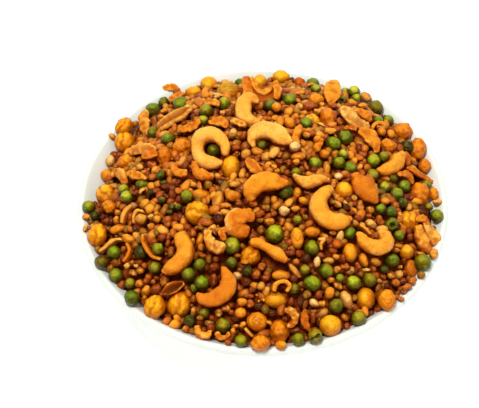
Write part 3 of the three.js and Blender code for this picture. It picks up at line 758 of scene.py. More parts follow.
def along_line(rows, parts):
    """A smooth curve through rows, read at parts of its length; beyond the ends it runs straight on."""
    rows = np.array(rows, dtype=float)
    lengths = np.concatenate([[0.0], np.cumsum(np.linalg.norm(np.diff(rows[:, :2], axis=0), axis=1))])
    slopes = np.gradient(rows, lengths, axis=0)
    place = np.clip(parts, 0.0, 1.0) * lengths[-1]
    near = np.clip(np.searchsorted(lengths, place, side="right") - 1, 0, len(rows) - 2)
    gap = lengths[near + 1] - lengths[near]
    t = ((place - lengths[near]) / gap)[:, None]
    first, last = rows[near], rows[near + 1]
    out, into = slopes[near] * gap[:, None], slopes[near + 1] * gap[:, None]
    curve = (2 * t**3 - 3 * t**2 + 1) * first + (t**3 - 2 * t**2 + t) * out
    curve += (3 * t**2 - 2 * t**3) * last + (t**3 - t**2) * into
    past = (parts * lengths[-1] - place)[:, None]
    curve[:, :2] += past * np.where(past > 0, slopes[-1, :2], slopes[0, :2])
    return curve, lengths[-1]


BAND_RINGS, BAND_SIDES = 34, 20
# How far a band's round ends stand out, as a share of its width there; its least width; and the small steps
# at which its direction and its poles are found.
CAP_SHARE, LEAST_WIDTH, NEARBY, AT_POLE = 0.42, 1.0, 0.01, 1e-4
LUMPS_WIDE, WRINKLES_WIDE = 4.0, 1.6


def drawn_out(globe, stations):
    """Runs a ball's rings along the stations: their middles, half widths and directions, in pixels."""
    latitude = np.arccos(np.clip(-globe[:, 2], -1, 1)) / math.pi
    part = 0.5 * latitude + 0.25 * (1 - np.cos(latitude * math.pi))
    _, length = along_line(stations, np.zeros(1))
    caps = CAP_SHARE * stations[0][2], CAP_SHARE * stations[-1][2]
    place = -caps[0] + part * (length + caps[0] + caps[1])
    curve, _ = along_line(stations, place / length)
    ahead, _ = along_line(stations, place / length + NEARBY)
    behind, _ = along_line(stations, place / length - NEARBY)
    tangent = (ahead - behind)[:, :2]
    tangent /= np.linalg.norm(tangent, axis=1)[:, None]
    short = np.maximum(0.0, -place / caps[0]) + np.maximum(0.0, (place - length) / caps[1])
    closing = np.sqrt(np.maximum(0.0, 1 - short**2))
    closing[(latitude < AT_POLE) | (latitude > 1 - AT_POLE)] = 0.0
    return curve[:, :2], np.maximum(LEAST_WIDTH, curve[:, 2]) / 2 * closing, tangent


def strip(seed, row, look):
    """A band that lies on the heap and covers its pixels: a ball drawn out along the stations."""
    stations, lean, over, _ = row
    form = FORMS[look]
    bpy.ops.object.select_all(action="DESELECT")
    bpy.ops.mesh.primitive_uv_sphere_add(segments=BAND_SIDES, ring_count=BAND_RINGS, radius=1.0)
    thing = bpy.context.object
    thing.name = f"{look}_{seed}"
    globe = places(thing.data)
    middle, half_width, tangent = drawn_out(globe, stations)
    anchor = on_heap(*np.array(stations)[:, :2].mean(axis=0), over)
    normal = heap_normal(anchor[0], anchor[1], lean)
    edges = []
    for sign in (1, -1):
        rays = pixel_rays(middle + sign * half_width[:, None] * tangent[:, ::-1] * [1, -1])
        reach = ((anchor - CAMERA_AT) @ normal) / (rays @ normal)
        edges.append(CAMERA_AT + rays * reach[:, None])
    side = np.arctan2(globe[:, 1], globe[:, 0])
    spread, rise = np.cos(side), np.sin(side)
    boxy = np.sign(spread) * np.abs(spread) ** form.boxy
    thick = (half_width / max(1e-6, half_width.max())) ** 0.75
    upper = form.top * np.abs(rise) ** 0.8 - form.groove * np.exp(-((boxy / form.narrow) ** 2))
    height = np.where(rise > 0, upper, -form.bottom * np.abs(rise) ** 0.85) * thick
    height += form.cup * (boxy**2 - 0.4) * thick
    boxy = boxy * (1 + form.flare * np.maximum(0.0, -rise))
    across = (edges[0] - edges[1]) / 2 * boxy[:, None]
    points = (edges[0] + edges[1]) / 2 + across + normal * height[:, None]
    thing.data.vertices.foreach_set("co", (points * MM).ravel())
    thing.data.update()
    relief(thing, "CLOUDS", LUMPS_WIDE, form.lumps, seed)
    relief(thing, "CLOUDS", WRINKLES_WIDE, 0.5 * form.lumps, seed + 2)
    master = Master(thing)
    # The inside of the band: on opened forms it gets painted shade.
    if form.groove:
        master.inner = np.where(rise > 0, np.exp(-((boxy / form.narrow) ** 2)), 0.0)
    else:
        master.inner = np.clip((master.crease - 0.3) / 0.7, 0, 1)
    return master


# ---------------------------------------------------------------- placing

WALL_LINE = np.stack(wall_point(np.linspace(FLOOR_RADIUS, LIP_RADIUS, 90), 0.0), axis=1)
# How far the tops of the pieces of each kind stand over the heap's surface.
TOPS = {"pea": 3.2, "chickpea": 3.5, "split": 2.7, "bean": 1.6}
# How near pieces may come, as shares of their size, and how they slide apart along their lines of sight.
FROM_WALL, FROM_BAND, FROM_PIECE = 0.85, 0.85, 0.88
ROUNDS, AWAY_FROM_BAND, AWAY_FROM_PIECE = 50, 0.6, 0.25
USUAL_DEPTH, NEARER, MOST_NEARER, MOST_FURTHER = 700.0, 0.3, 2.0, 5.0


def wall_gap(place):
    """How far a place is from the bowl's wall."""
    section = np.array([math.hypot(place[0], place[1]), place[2]])
    return np.linalg.norm(WALL_LINE - section, axis=1).min() - WALL / 2


class Spot:
    """A large piece read from the photograph: its line of sight, size and place on the heap."""

    def __init__(self, x, y, long, short, angle, rise, kind, look):
        self.kind, self.look = kind, look
        self.ray = pixel_ray(x, y)
        scale = USUAL_DEPTH / PIXELS_FOCAL
        self.radius = 0.25 * (long + short) * scale
        self.place = on_heap(x, y, TOPS[kind] + rise - self.radius)
        self.depth = float((self.place - CAMERA_AT) @ self.ray)
        while wall_gap(self.place) < FROM_WALL * self.radius:
            self.depth -= NEARER
            self.place = CAMERA_AT + self.ray * self.depth
        self.first = self.depth
        scale = self.depth / PIXELS_FOCAL
        self.radius = 0.25 * (long + short) * scale
        self.up = heap_normal(self.place[0], self.place[1])
        turn = math.radians(angle)
        self.ahead = RIGHT * math.cos(turn) + UP * math.sin(turn)
        self.long, self.short = long * scale, short * scale

    def move(self, push):
        """Slides along the line of sight, unless that would press into the wall."""
        depth = min(max(self.depth + push, self.first - MOST_NEARER), self.first + MOST_FURTHER)
        place = CAMERA_AT + self.ray * depth
        if depth <= self.depth or wall_gap(place) >= FROM_WALL * self.radius:
            self.depth, self.place = depth, place


def read_spots():
    """The spots of all peas, chickpeas, split nuts and large beans."""
    spots = []
    for look, rows in PEAS.items():
        for x, y, size, *rise in rows:
            spots.append(Spot(x, y, size, size, 0, sum(rise), "pea", look))
    for look, rows in CHICKPEAS.items():
        for x, y, wide, high, *more in rows:
            angle, rise = more + [90 * (high > wide), 0][len(more) :]
            spots.append(Spot(x, y, max(wide, high), min(wide, high), angle, rise, "chickpea", look))
    for kind, lists in (("split", SPLITS), ("bean", BEANS)):
        for look, rows in lists.items():
            for x, y, long, short, *more in rows:
                angle, rise = more + [0, 0][len(more) :]
                spots.append(Spot(x, y, long, short, angle, rise, kind, look))
    return spots


def settle(spots, masters):
    """Slides pieces along their lines of sight until they hardly cut into each other or into the bands."""
    bands = np.concatenate([master.points[::7] for master in masters])
    radii = np.array([spot.radius for spot in spots])
    for _ in range(ROUNDS):
        middles = np.array([spot.place for spot in spots])
        gaps = np.linalg.norm(middles[:, None] - middles[None], axis=2)
        over = np.maximum(0.0, FROM_PIECE * (radii[:, None] + radii[None]) - gaps)
        np.fill_diagonal(over, 0.0)
        for i, spot in enumerate(spots):
            gap = np.linalg.norm(bands - spot.place, axis=1).min()
            push = AWAY_FROM_BAND * max(0.0, FROM_BAND * spot.radius - gap)
            for j in np.nonzero(over[i])[0]:
                moved = spot.depth - spot.first, spots[j].depth - spots[j].first
                deeper = moved[0] - moved[1] + 0.3 * (i - j) / len(spots)
                push += AWAY_FROM_PIECE * over[i, j] * (1 if deeper > 0 else -0.4)
            spot.move(push)


STEP = 0.5
HALF = 90.0
CELLS = int(2 * HALF / STEP) + 1
LEVEL_PERCENT = 45
# The mix piles up a little where it meets the wall.
BEAD_HIGH, BEAD_WIDE = 1.6, 5.0


def cells_of(points):
    """The grid cells under points."""
    return np.clip(((points[:, :2] + HALF) / STEP).round().astype(int), 0, CELLS - 1)


class Ground:
    """Height of what already lies in the bowl, on a fine square grid."""

    def __init__(self, start):
        line = np.linspace(-HALF, HALF, CELLS)
        self.x, self.y = np.meshgrid(line, line, indexing="ij")
        radius = np.hypot(self.x, self.y)
        edge = mix_edge(np.arctan2(self.y, self.x))[1]
        bead = BEAD_HIGH * np.clip(1 - (edge - radius) / BEAD_WIDE, 0, 1)
        self.target = heap_height(self.x, self.y) + bead
        self.height = np.maximum(self.target - bead - start, wall_height(radius))
        self.inside = radius < edge - EDGE_GAP

    def cover(self, points):
        """Raises the ground to the top of a finely meshed shape."""
        cells = np.clip(cells_of(points), 1, CELLS - 2)
        for i in (-1, 0, 1):
            for j in (-1, 0, 1):
                np.maximum.at(self.height, (cells[:, 0] + i, cells[:, 1] + j), points[:, 2])

    def ball(self, place, radius, flat=1.0):
        """Raises the ground to the top of a ball, or of one flattened by flat."""
        low = np.maximum(0, ((place[:2] - radius + HALF) / STEP).astype(int))
        high = np.minimum(CELLS, ((place[:2] + radius + HALF) / STEP).astype(int) + 2)
        part = (slice(low[0], high[0]), slice(low[1], high[1]))
        away = (self.x[part] - place[0]) ** 2 + (self.y[part] - place[1]) ** 2
        top = place[2] + flat * np.sqrt(np.maximum(0.0, radius**2 - away))
        self.height[part] = np.where(away < radius**2, np.maximum(self.height[part], top), self.height[part])

    def around(self, i, j, radius):
        """Height near a cell and the slope there."""
        reach = max(1, int(radius / STEP))
        i, j = min(max(i, reach), CELLS - reach - 1), min(max(j, reach), CELLS - reach - 1)
        patch = self.height[i - reach : i + reach + 1, j - reach : j + reach + 1]
        slope_x = (patch[-1].mean() - patch[0].mean()) / (2 * reach * STEP)
        slope_y = (patch[:, -1].mean() - patch[:, 0].mean()) / (2 * reach * STEP)
        return np.percentile(patch, LEVEL_PERCENT), slope_x, slope_y


# How unevenly sized grains are, how high they lie on the ground, how far over the limit some may stand, and
# how near the wall they come.
GRAIN_SIZES, LYING, OVER_LIMIT, WALL_SHARE = (0.8, 1.2), 0.45, (-0.5, 0.8), 0.7


def off_wall(place, reach):
    """Moves a grain's place inwards and up where it would reach into the wall."""
    sunk = max(0.0, reach - wall_gap(place))
    place += np.array([-0.7 * place[0], -0.7 * place[1], 0.0]) * sunk / math.hypot(place[0], place[1])
    place[2] += 0.7 * sunk
    return place


def pour(ground, radius, flat, share, rounds, over, spare):
    """Drops grains on a share of the places where the ground lies low enough under the heap's surface."""
    grains = []
    for _ in range(rounds):
        cells = np.argwhere(ground.inside & (ground.height < ground.target + over - spare))
        cells = cells[RANDOM.permutation(len(cells))[: int(len(cells) * share)]]
        for i, j in cells:
            limit = ground.target[i, j] + over
            if ground.height[i, j] > limit - spare:
                continue
            size = radius * RANDOM.uniform(*GRAIN_SIZES)
            level, slope_x, slope_y = ground.around(i, j, size * 0.7)
            rest = level + LYING * size * flat
            if rest + size * flat > limit + RANDOM.uniform(*OVER_LIMIT):
                continue
            up = unit(np.array([-slope_x * 0.8, -slope_y * 0.8, 1.0]) + RANDOM.normal(scale=0.3, size=3))
            place = np.array([ground.x[i, j], ground.y[i, j], rest]) + [*RANDOM.uniform(-0.2, 0.2, 2), 0.0]
            place = off_wall(place, WALL_SHARE * size * flat)
            ground.ball(place, size * 0.95, flat)
            grains.append((place, turned(up, RANDOM.normal(size=3)), size / radius))
    return grains


# Directions, and reaches in millimetres, at which the heap's hiding of the sky is measured for the painted
# shade.
SKY_TURNS, SKY_REACHES = 8, (0.7, 1.4, 2.4, 3.8, 6.0)


def mark_occlusion_shade(ground):
    """Gives each loose piece's vertices how much of the sky what lies around them hides, from 0 to 1, as the
    measure of the painted shade that the materials lay on them.
    """
    for piece in LOOSE:
        points = places(piece.data) / MM
        hidden = np.zeros(len(points))
        for turn in np.arange(SKY_TURNS) * 2 * math.pi / SKY_TURNS:
            steep = np.zeros(len(points))
            for reach in SKY_REACHES:
                cells = cells_of(points[:, :2] + [reach * math.cos(turn), reach * math.sin(turn)])
                steep = np.maximum(steep, (ground.height[cells[:, 0], cells[:, 1]] - points[:, 2]) / reach)
            hidden += steep / np.hypot(1, steep) / SKY_TURNS
        piece.data.attributes.new("hidden", "FLOAT", "POINT").data.foreach_set("value", hidden)


# ---------------------------------------------------------------- materials


class Value:
    """A shader socket that takes part in arithmetic."""

    def __init__(self, paint, socket):
        self.paint, self.socket = paint, socket

    def maths(self, operation, first, second):
        return self.paint.node("ShaderNodeMath", {"operation": operation}, [first, second])

    def __add__(self, other):
        return self.maths("ADD", self, other)

    def __mul__(self, other):
        return self.maths("MULTIPLY", self, other)

    def __sub__(self, other):
        return self.maths("SUBTRACT", self, other)

    def __rsub__(self, other):
        return self.maths("SUBTRACT", other, self)

    __radd__ = __add__
    __rmul__ = __mul__

    def step(self, low, high):
        """0 below low, 1 above high, smooth between."""
        inputs = {"Value": self, "From Min": low, "From Max": high}
        return self.paint.node("ShaderNodeMapRange", {"interpolation_type": "SMOOTHSTEP"}, inputs)


def rgba(red, green, blue):
    """A colour given as screen values from 0 to 255, as light."""
    parts = (red, green, blue)
    return (*(((part / 255 + 0.055) / 1.055) ** 2.4 if part > 10 else part / 3294.6 for part in parts), 1.0)


class Paint:
    """A material under construction; where is the place at which its textures are read."""

    def __init__(self, name):
        self.material = bpy.data.materials.new(name)
        self.material.use_nodes = True
        self.tree = self.material.node_tree
        self.shader = self.tree.nodes["Principled BSDF"]

    @cached_property
    def where(self):
        return self.node("ShaderNodeTexCoord", output="Object")

    def node(self, kind, settings=None, inputs=(), output=0):
        added = self.tree.nodes.new(kind)
        for key, value in (settings or {}).items():
            if key == "stops":
                self.set_stops(added.color_ramp, value)
            else:
                setattr(added, key, value)
        pairs = inputs.items() if isinstance(inputs, dict) else enumerate(inputs)
        for key, value in pairs:
            self.plug(added, key, value)
        return Value(self, added.outputs[output])

    def plug(self, node, key, value):
        """Links a value to an input, or sets the input to a constant."""
        if isinstance(value, Value):
            self.tree.links.new(value.socket, node.inputs[key])
        else:
            node.inputs[key].default_value = value

    @staticmethod
    def set_stops(ramp, stops):
        while len(ramp.elements) < len(stops):
            ramp.elements.new(0.5)
        for element, (at, *colour) in zip(ramp.elements, stops):
            element.position = at
            element.color = rgba(*colour)

    def attribute(self, name, output="Fac"):
        return self.node("ShaderNodeAttribute", {"attribute_name": name}, output=output)

    def ramp(self, value, stops):
        return self.node("ShaderNodeValToRGB", {"stops": stops}, {"Fac": value}, "Color")

    def noise(self, scale, detail=3.0, rough=0.5, distortion=0.0):
        inputs = {"Scale": scale, "Detail": detail, "Roughness": rough, "Distortion": distortion}
        return self.node("ShaderNodeTexNoise", {}, {"Vector": self.where, **inputs}, "Fac")

    def mix(self, amount, first, second):
        return self.node("ShaderNodeMix", {"data_type": "RGBA"}, {0: amount, 6: first, 7: second}, 2)

    def finish(self, base, roughness, bump=None, strength=0.3, depth=0.2, **constants):
        self.plug(self.shader, "Base Color", base)
        self.plug(self.shader, "Roughness", roughness)
        if bump is not None:
            inputs = {"Height": bump, "Strength": strength, "Distance": depth * MM}
            self.plug(self.shader, "Normal", self.node("ShaderNodeBump", {}, inputs, "Normal"))
        for key, value in constants.items():
            self.plug(self.shader, key.replace("_", " "), value)
        return self.material


OILY = (1.0, 0.74, 0.3, 1.0)


class Fried(Paint):
    """The finish of a fried piece: a ramp of colours by its tint and soft patches, then colours laid over it,
    among them painted shade and, on nuts, a painted highlight.
    """

    def __init__(self, name, patches, spread, stops):
        super().__init__(name)
        tone = self.attribute("tint") + self.noise(*patches) * spread - spread / 2
        self.base = self.ramp(tone, stops)

    @cached_property
    def where(self):
        return self.attribute("local", "Vector")

    def over(self, amount, *colour):
        self.base = self.mix(amount, self.base, rgba(*colour))

    def patched(self, noise, low, high, amount, *colour):
        """Lays a colour where a noise is high."""
        self.over(self.noise(*noise).step(low, high) * amount, *colour)

    def creased(self, low, high, amount, *colour):
        """Lays a colour, mostly darker, in the furrows: painted shade, and partly the darker seams the pieces
        have.
        """
        self.over(self.attribute("crease").step(low, high) * amount, *colour)

    def spiced(self, amount, *colour):
        """Lays soft smears of spice, finely grained."""
        patches = self.noise(0.35, 3.0, 0.55, 0.6).step(0.48, 0.7)
        grain = self.noise(2.2, 3.0, 0.7).step(0.3, 0.7)
        self.over(patches * (grain * 0.5 + 0.5) * amount, *colour)

    def shaded(self, amount, *colour):
        """Darkens where what lies around hides the sky: painted shade deep in the heap."""
        self.over(self.attribute("hidden").step(0.18, 0.85) * amount, *colour)

    def fried(self, bump, strength, depth, gloss, rough, shine, tint=OILY):
        """A bumpy, oily surface; gloss is the scale and span of its patches, rough its least roughness."""
        roughness = self.noise(gloss[0]) * gloss[1] + rough
        constants = {"Specular IOR Level": shine, "Specular Tint": tint}
        return self.finish(self.base, roughness, self.noise(*bump), strength, depth, **constants)


def pea_material():
    paint = Fried("fried_green_pea", (0.28, 4.0), 0.7, [
        (0.0, 28, 38, 0), (0.3, 86, 112, 0), (0.55, 130, 152, 0), (0.8, 174, 182, 8), (1.0, 220, 210, 60),
    ])
    paint.patched((0.16, 3.0, 0.5, 0.5), 0.45, 0.65, 0.45, 176, 136, 12)
    paint.over(paint.attribute("tone"), 156, 114, 10)
    paint.patched((0.6, 4.0, 0.65, 0.8), 0.52, 0.72, 0.5, 170, 98, 10)
    paint.creased(0.1, 1.0, 0.7, 36, 30, 0)
    paint.shaded(0.85, 46, 28, 0)
    return paint.fried((1.6, 5.0, 0.6), 0.7, 0.4, (0.9, 0.26), 0.16, 0.5, (1, 0.94, 0.3, 1))


def chickpea_material():
    paint = Fried("roasted_chickpea", (0.2, 4.0), 0.9, [
        (0.0, 196, 88, 0), (0.3, 238, 134, 2), (0.6, 255, 172, 10), (0.85, 255, 196, 30), (1.0, 255, 220, 76),
    ])
    paint.over(paint.attribute("tone") * 0.7, 170, 134, 28)
    paint.creased(0.4, 1.0, 0.2, 180, 76, 0)
    paint.spiced(0.5, 160, 66, 0)
    paint.shaded(0.8, 170, 72, 0)
    return paint.fried((1.2, 5.0, 0.6), 0.6, 0.4, (0.8, 0.2), 0.28, 0.45)


def split_material():
    paint = Fried("fried_split_nut", (0.25, 3.0), 0.4, [
        (0.0, 204, 92, 0), (0.35, 253, 160, 28), (0.6, 220, 148, 40), (0.8, 242, 176, 72),
        (1.0, 255, 212, 130),
    ])
    paint.creased(0.0, 0.9, 0.7, 130, 50, 2)
    paint.spiced(0.6, 130, 46, 4)
    paint.shaded(0.8, 150, 58, 0)
    return paint.fried((1.5, 5.0, 0.6), 0.6, 0.3, (0.8, 0.2), 0.3, 0.4)


def nut_material(name, spice_amount):
    """Fried cashew or flake: pale or brown by its tint, with a painted highlight on its ridges and painted
    shade inside where it is open.
    """
    paint = Fried(name, (0.12, 4.0, 0.6), 0.56, [
        (0.0, 110, 40, 0), (0.2, 200, 92, 4), (0.4, 240, 138, 18), (0.6, 252, 162, 32), (0.8, 252, 180, 60),
        (1.0, 255, 204, 94),
    ])
    # Paler along ridges and edges: a painted highlight.
    paint.over((0 - paint.attribute("crease")).step(0.15, 0.9) * 0.5, 255, 212, 116)
    paint.creased(0.4, 1.0, 0.6, 184, 80, 4)
    paint.patched((0.55, 4.0, 0.65, 1.2), 0.5, 0.7, 0.5, 222, 116, 20)
    paint.spiced(spice_amount, 190, 78, 4)
    paint.shaded(0.85, 196, 84, 0)
    # Dark inside opened forms: painted shade.
    paint.over(paint.attribute("tone"), 66, 16, 0)
    return paint.fried((0.9, 6.0, 0.7), 0.9, 0.7, (0.8, 0.2), 0.36, 0.35)


def grain_material():
    paint = Fried("small_fried_beans", (0.5, 3.0), 0.3, [
        (0.0, 34, 8, 2), (0.14, 112, 32, 4), (0.3, 172, 72, 12), (0.45, 206, 110, 22), (0.6, 232, 138, 28),
        (0.72, 252, 160, 36), (0.85, 236, 172, 72), (1.0, 250, 206, 120),
    ])
    paint.over(paint.attribute("tone"), 120, 96, 10)
    paint.creased(0.2, 1.0, 0.5, 64, 16, 0)
    paint.shaded(0.85, 116, 40, 0)
    return paint.fried((2.0, 4.0), 0.5, 0.3, (1.0, 0.2), 0.26, 0.45, (1, 0.72, 0.38, 1))


def core_material():
    # The mix under the loose grains, darker than the grains over it: painted shade of the gaps between them.
    paint = Paint("crumbs_with_painted_shade")
    stops = [(0.3, 88, 24, 0), (0.55, 136, 50, 2), (0.75, 178, 84, 12)]
    brown = paint.ramp(paint.noise(0.25 / MM, 4.0), stops)
    cells = {"Vector": paint.where, "Scale": 0.5 / MM}
    crumbs = paint.node("ShaderNodeTexVoronoi", {"feature": "F1"}, cells, "Distance")
    return paint.finish(brown, 0.7, crumbs, 0.8, 1.0, Specular_IOR_Level=0.1)


def glaze_material():
    paint = Paint("white_glaze")
    base = paint.mix(paint.noise(18.0, 2.0).step(0.3, 0.7), rgba(229, 234, 222), rgba(234, 238, 228))
    return paint.finish(base, 0.16, paint.noise(60.0, 1.0), 0.05, 0.4, Coat_Weight=0.3)


# ---------------------------------------------------------------- pieces


BOWL_SIDES, WALL_STEPS, LIP_STEPS = 160, 36, 13
ABOVE_FOOT, SMOOTH_BELOW = 1.4, math.radians(40)


def make_bowl():
    """A disc under the foot, drawn out ring by ring over the foot, the wall and the lip to the inside."""
    inner = [wall_point(radius, WALL / 2) for radius in np.linspace(LIP_RADIUS, FLOOR_RADIUS, WALL_STEPS)]
    outer_radii = np.linspace(FOOT_OUTER + ABOVE_FOOT, LIP_RADIUS, WALL_STEPS)
    outer = [wall_point(radius, -WALL / 2) for radius in outer_radii]
    tip = math.atan((LIP_HEIGHT - FLOOR_MIDDLE) * WALL_CURVE / (LIP_RADIUS - FLOOR_RADIUS))
    turns = np.linspace(tip - math.pi / 2, tip + math.pi / 2, LIP_STEPS)[1:-1]
    lip = [(LIP_RADIUS + WALL / 2 * math.cos(a), LIP_HEIGHT + WALL / 2 * math.sin(a)) for a in turns]
    foot = [
        (FOOT_INNER - 1.0, FLOOR_MIDDLE - WALL / 2),
        (FOOT_INNER, FLOOR_MIDDLE - WALL / 2 - 0.8),
        (FOOT_INNER + 0.2, 0.8),
        (FOOT_INNER + 0.9, 0.0),
        (FOOT_OUTER - 0.9, 0.0),
        (FOOT_OUTER - 0.2, 0.7),
        (FOOT_OUTER, FOOT_TOP - 1.4),
        (FOOT_OUTER + 0.3, FOOT_TOP - 0.6),
    ]
    section = foot + outer + lip + inner
    radius, height = section[0]
    bpy.ops.object.select_all(action="DESELECT")
    bpy.ops.mesh.primitive_circle_add(
        vertices=BOWL_SIDES, radius=radius * MM, fill_type="NGON", location=(0, 0, height * MM)
    )
    piece = bpy.context.object
    piece.name = piece.data.name = "bowl_glazed"
    bpy.ops.object.transform_apply(location=True, rotation=False, scale=False)
    bpy.ops.object.mode_set(mode="EDIT")
    bpy.ops.mesh.select_all(action="SELECT")
    for new_radius, new_height in section[1:]:
        bpy.ops.mesh.extrude_region_move(TRANSFORM_OT_translate={"value": (0, 0, (new_height - height) * MM)})
        grow = new_radius / radius
        bpy.ops.transform.resize(value=(grow, grow, 1))
        radius, height = new_radius, new_height
    bpy.ops.mesh.select_all(action="SELECT")
    bpy.ops.mesh.normals_make_consistent(inside=False)
    bpy.ops.object.mode_set(mode="OBJECT")
    alone(piece)
    bpy.ops.object.shade_smooth_by_angle(angle=SMOOTH_BELOW)
    piece.data.materials.append(glaze_material())
    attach(piece, "root")
    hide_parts("bowl")


# How far the core lies under the heap's surface, inside its edge and over the bowl, and which part of the
# ball its upper face takes.
CORE_SINK, CORE_EDGE, CORE_OVER_BOWL = 5.5, 0.8, 0.4
CORE_SIDES, CORE_RINGS, CORE_TOP_PART = 320, 130, 0.85
CRUMBLY_PART = 0.94


def make_core():
    """What lies under the loose grains: a ball pressed into the bowl, crumbly on its upper face."""
    bpy.ops.object.select_all(action="DESELECT")
    bpy.ops.mesh.primitive_uv_sphere_add(segments=CORE_SIDES, ring_count=CORE_RINGS, radius=1.0)
    piece = bpy.context.object
    piece.name = piece.data.name = "mix_core"
    globe = places(piece.data)
    around = np.arctan2(globe[:, 1], globe[:, 0])
    down = np.arccos(np.clip(globe[:, 2], -1, 1)) / math.pi
    edge = mix_edge(around)[1] - CORE_EDGE
    top = down <= CORE_TOP_PART
    share = np.where(top, down / CORE_TOP_PART, (1 - down) / (1 - CORE_TOP_PART))
    low_radius, low_height = wall_point(share * edge, WALL / 2 + CORE_OVER_BOWL)
    radius = np.where(top, share * edge, low_radius)
    x, y = radius * np.cos(around), radius * np.sin(around)
    upper = np.maximum(heap_height(x, y) - CORE_SINK, wall_height(radius) + 0.5)
    height = np.where(top, upper, low_height)
    piece.data.vertices.foreach_set("co", (np.stack([x, y, height], axis=1) * MM).ravel())
    piece.data.update()
    crumbs = piece.vertex_groups.new(name="crumbs")
    crumbs.add(np.nonzero(top & (share < CRUMBLY_PART))[0].tolist(), 1.0, "REPLACE")
    relief(piece, "VORONOI", 1.8, -1.6, 3, middle=0.3, group="crumbs")
    alone(piece)
    bpy.ops.object.shade_smooth()
    piece.data.materials.append(core_material())
    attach(piece, "root")
    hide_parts("mix_heap")


# How light each look is, and how olive.
TINTS = {
    "pea": {
        "deep": (0.0, 0.0), "dark": (0.2, 0.0), "mid": (0.48, 0.0), "light": (0.8, 0.0), "olive": (0.55, 0.5),
        "holed": (0.35, 0.2), "slit": (0.6, 0.6),
    },
    "chickpea": {
        "lobed": (0.58, 0.0), "smooth": (0.64, 0.0), "swirled": (0.4, 0.0), "rough": (0.32, 0.0),
        "olive": (0.7, 1.0),
    },
    "split": {"orange": (0.28, 0.0), "tan": (0.62, 0.0), "pale": (0.92, 0.0), "brown": (-0.1, 0.0)},
    "bean": {
        "dark": (-0.1, 0.0), "wine": (0.13, 0.0), "red": (0.26, 0.0), "brown": (0.36, 0.0),
        "orange": (0.64, 0.0), "tan": (0.78, 0.0), "olive": (0.6, 0.7), "green": (0.05, 0.0),
    },
}
TINT_WOBBLE = 0.08
MARKED = ("holed", "slit")
# The length, width and height at which the shapes of each kind fill their outline in the photograph, and how
# far they turn to the camera.
FILLS = {"pea": 7.3, "chickpea": (10.7, 10.2, 9.6), "split": (10.0, 6.4, 6.0), "bean": (5.3, 3.9, 3.8)}
TO_CAMERA = {"chickpea": 1.5, "split": 0.7, "bean": 0.7}
UNEVEN = {"split": 0.12, "bean": 0.2}


def large_masters():
    """The shapes of each look of each kind."""
    peas = [pea(seed) for seed in range(7)]
    beans = [bean(seed, 3) for seed in range(8)]
    return {
        "pea": {look: [pea(3, look)] if look in MARKED else peas for look in PEAS},
        "chickpea": {look: [chickpea(seed, look) for seed in range(3)] for look in CHICKPEAS},
        "split": {look: [split(seed, look) for seed in range(3)] for look in SPLITS},
        "bean": {look: beans for look in BEANS},
    }


def laid(spot):
    """How a large piece's shape is turned and sized."""
    if spot.kind == "pea":
        size = np.full(3, 2 * spot.radius / FILLS["pea"]) * RANDOM.uniform(0.94, 1.04, 3)
        turn = any_turn()
        return turned(-FORWARD, RIGHT + 0.5 * UP) if spot.look in MARKED else turn, size
    face = spot.up - FORWARD * TO_CAMERA[spot.kind]
    ahead = spot.ahead
    if spot.kind == "chickpea":
        ahead = ahead * RANDOM.choice([-1, 1])
    else:
        face = face + RANDOM.normal(scale=UNEVEN[spot.kind], size=3)
    return turned(unit(face), ahead), np.array([spot.long, spot.short, spot.short]) / FILLS[spot.kind]


def make_large(spots, ground):
    """Peas, chickpeas, split nuts and the larger beans, each kind as one piece."""
    masters = large_masters()
    rows = {"pea": [], "chickpea": [], "split": [], "bean": []}
    for number, spot in enumerate(spots):
        wobble = RANDOM.uniform(-1, 1)
        turn, size = laid(spot)
        choice = masters[spot.kind][spot.look]
        master = choice[number % len(choice)]
        tint, tone = TINTS[spot.kind][spot.look]
        ground.cover((master.points * size) @ turn.T + spot.place)
        into = "pea" if spot.look == "green" else spot.kind
        rows[into].append((master, spot.place, turn, size, tint + TINT_WOBBLE * wobble, tone))
    for kind, name, material in (
        ("pea", "green_peas", pea_material()),
        ("chickpea", "chickpeas", chickpea_material()),
        ("split", "split_nuts", split_material()),
        ("bean", "large_beans", grain_material()),
    ):
        piece = joined(name, rows[kind])
        piece.data.materials.append(material)


def band_masters(kind):
    """The shapes of the bands of a kind."""
    looks = [kind.others.get(number, kind.usual) for number in range(1, len(kind.rows) + 1)]
    return [strip(number, row, look) for number, (row, look) in enumerate(zip(kind.rows, looks), start=1)]


def make_bands(kind, masters, material):
    """Joins the bands of a kind and lets them stand for its nodes."""
    copies = []
    for number, (row, master) in enumerate(zip(kind.rows, masters), start=1):
        inside_shade = INSIDE_SHADE.get(kind.others.get(number), 0.0)
        copies.append((master, np.zeros(3), np.eye(3), np.ones(3), row[3], inside_shade))
    piece = joined(kind.piece, copies)
    piece.data.materials.append(material)
    if kind.stem:
        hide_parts(*[f"{kind.stem}_{number:02d}" for number in range(1, len(kind.rows) + 1)])


# Each kind of grain: its shape, how many shapes, the span of its tints, its radius and its flatness; then the
# share of low places it takes, in how many rounds, how far over the heap's surface it may stand, and how far
# under that the ground has to be.
GRAINS = {
    "half": (half, 5, (0.35, 0.85), 2.7, 0.7, 0.012, 5, 0.9, 3.0),
    "bean": (bean, 7, (0.1, 0.78), 2.2, 0.85, 0.06, 7, 0.6, 2.0),
    "lentil": (lentil, 4, (0.08, 0.66), 2.0, 0.6, 0.06, 3, 0.3, 1.6),
    "husk": (husk, 5, (0.25, 0.9), 2.1, 0.5, 0.01, 2, 0.8, 1.5),
    "crumb": (crumb, 8, (0.15, 0.8), 1.6, 0.8, 0.15, 4, 0.0, 1.4),
    "speck": (speck, 4, (0.15, 0.75), 0.9, 0.8, 0.12, 2, -0.2, 0.8),
}
OLIVE_SHARE, MOST_OLIVE = 0.25, 0.9


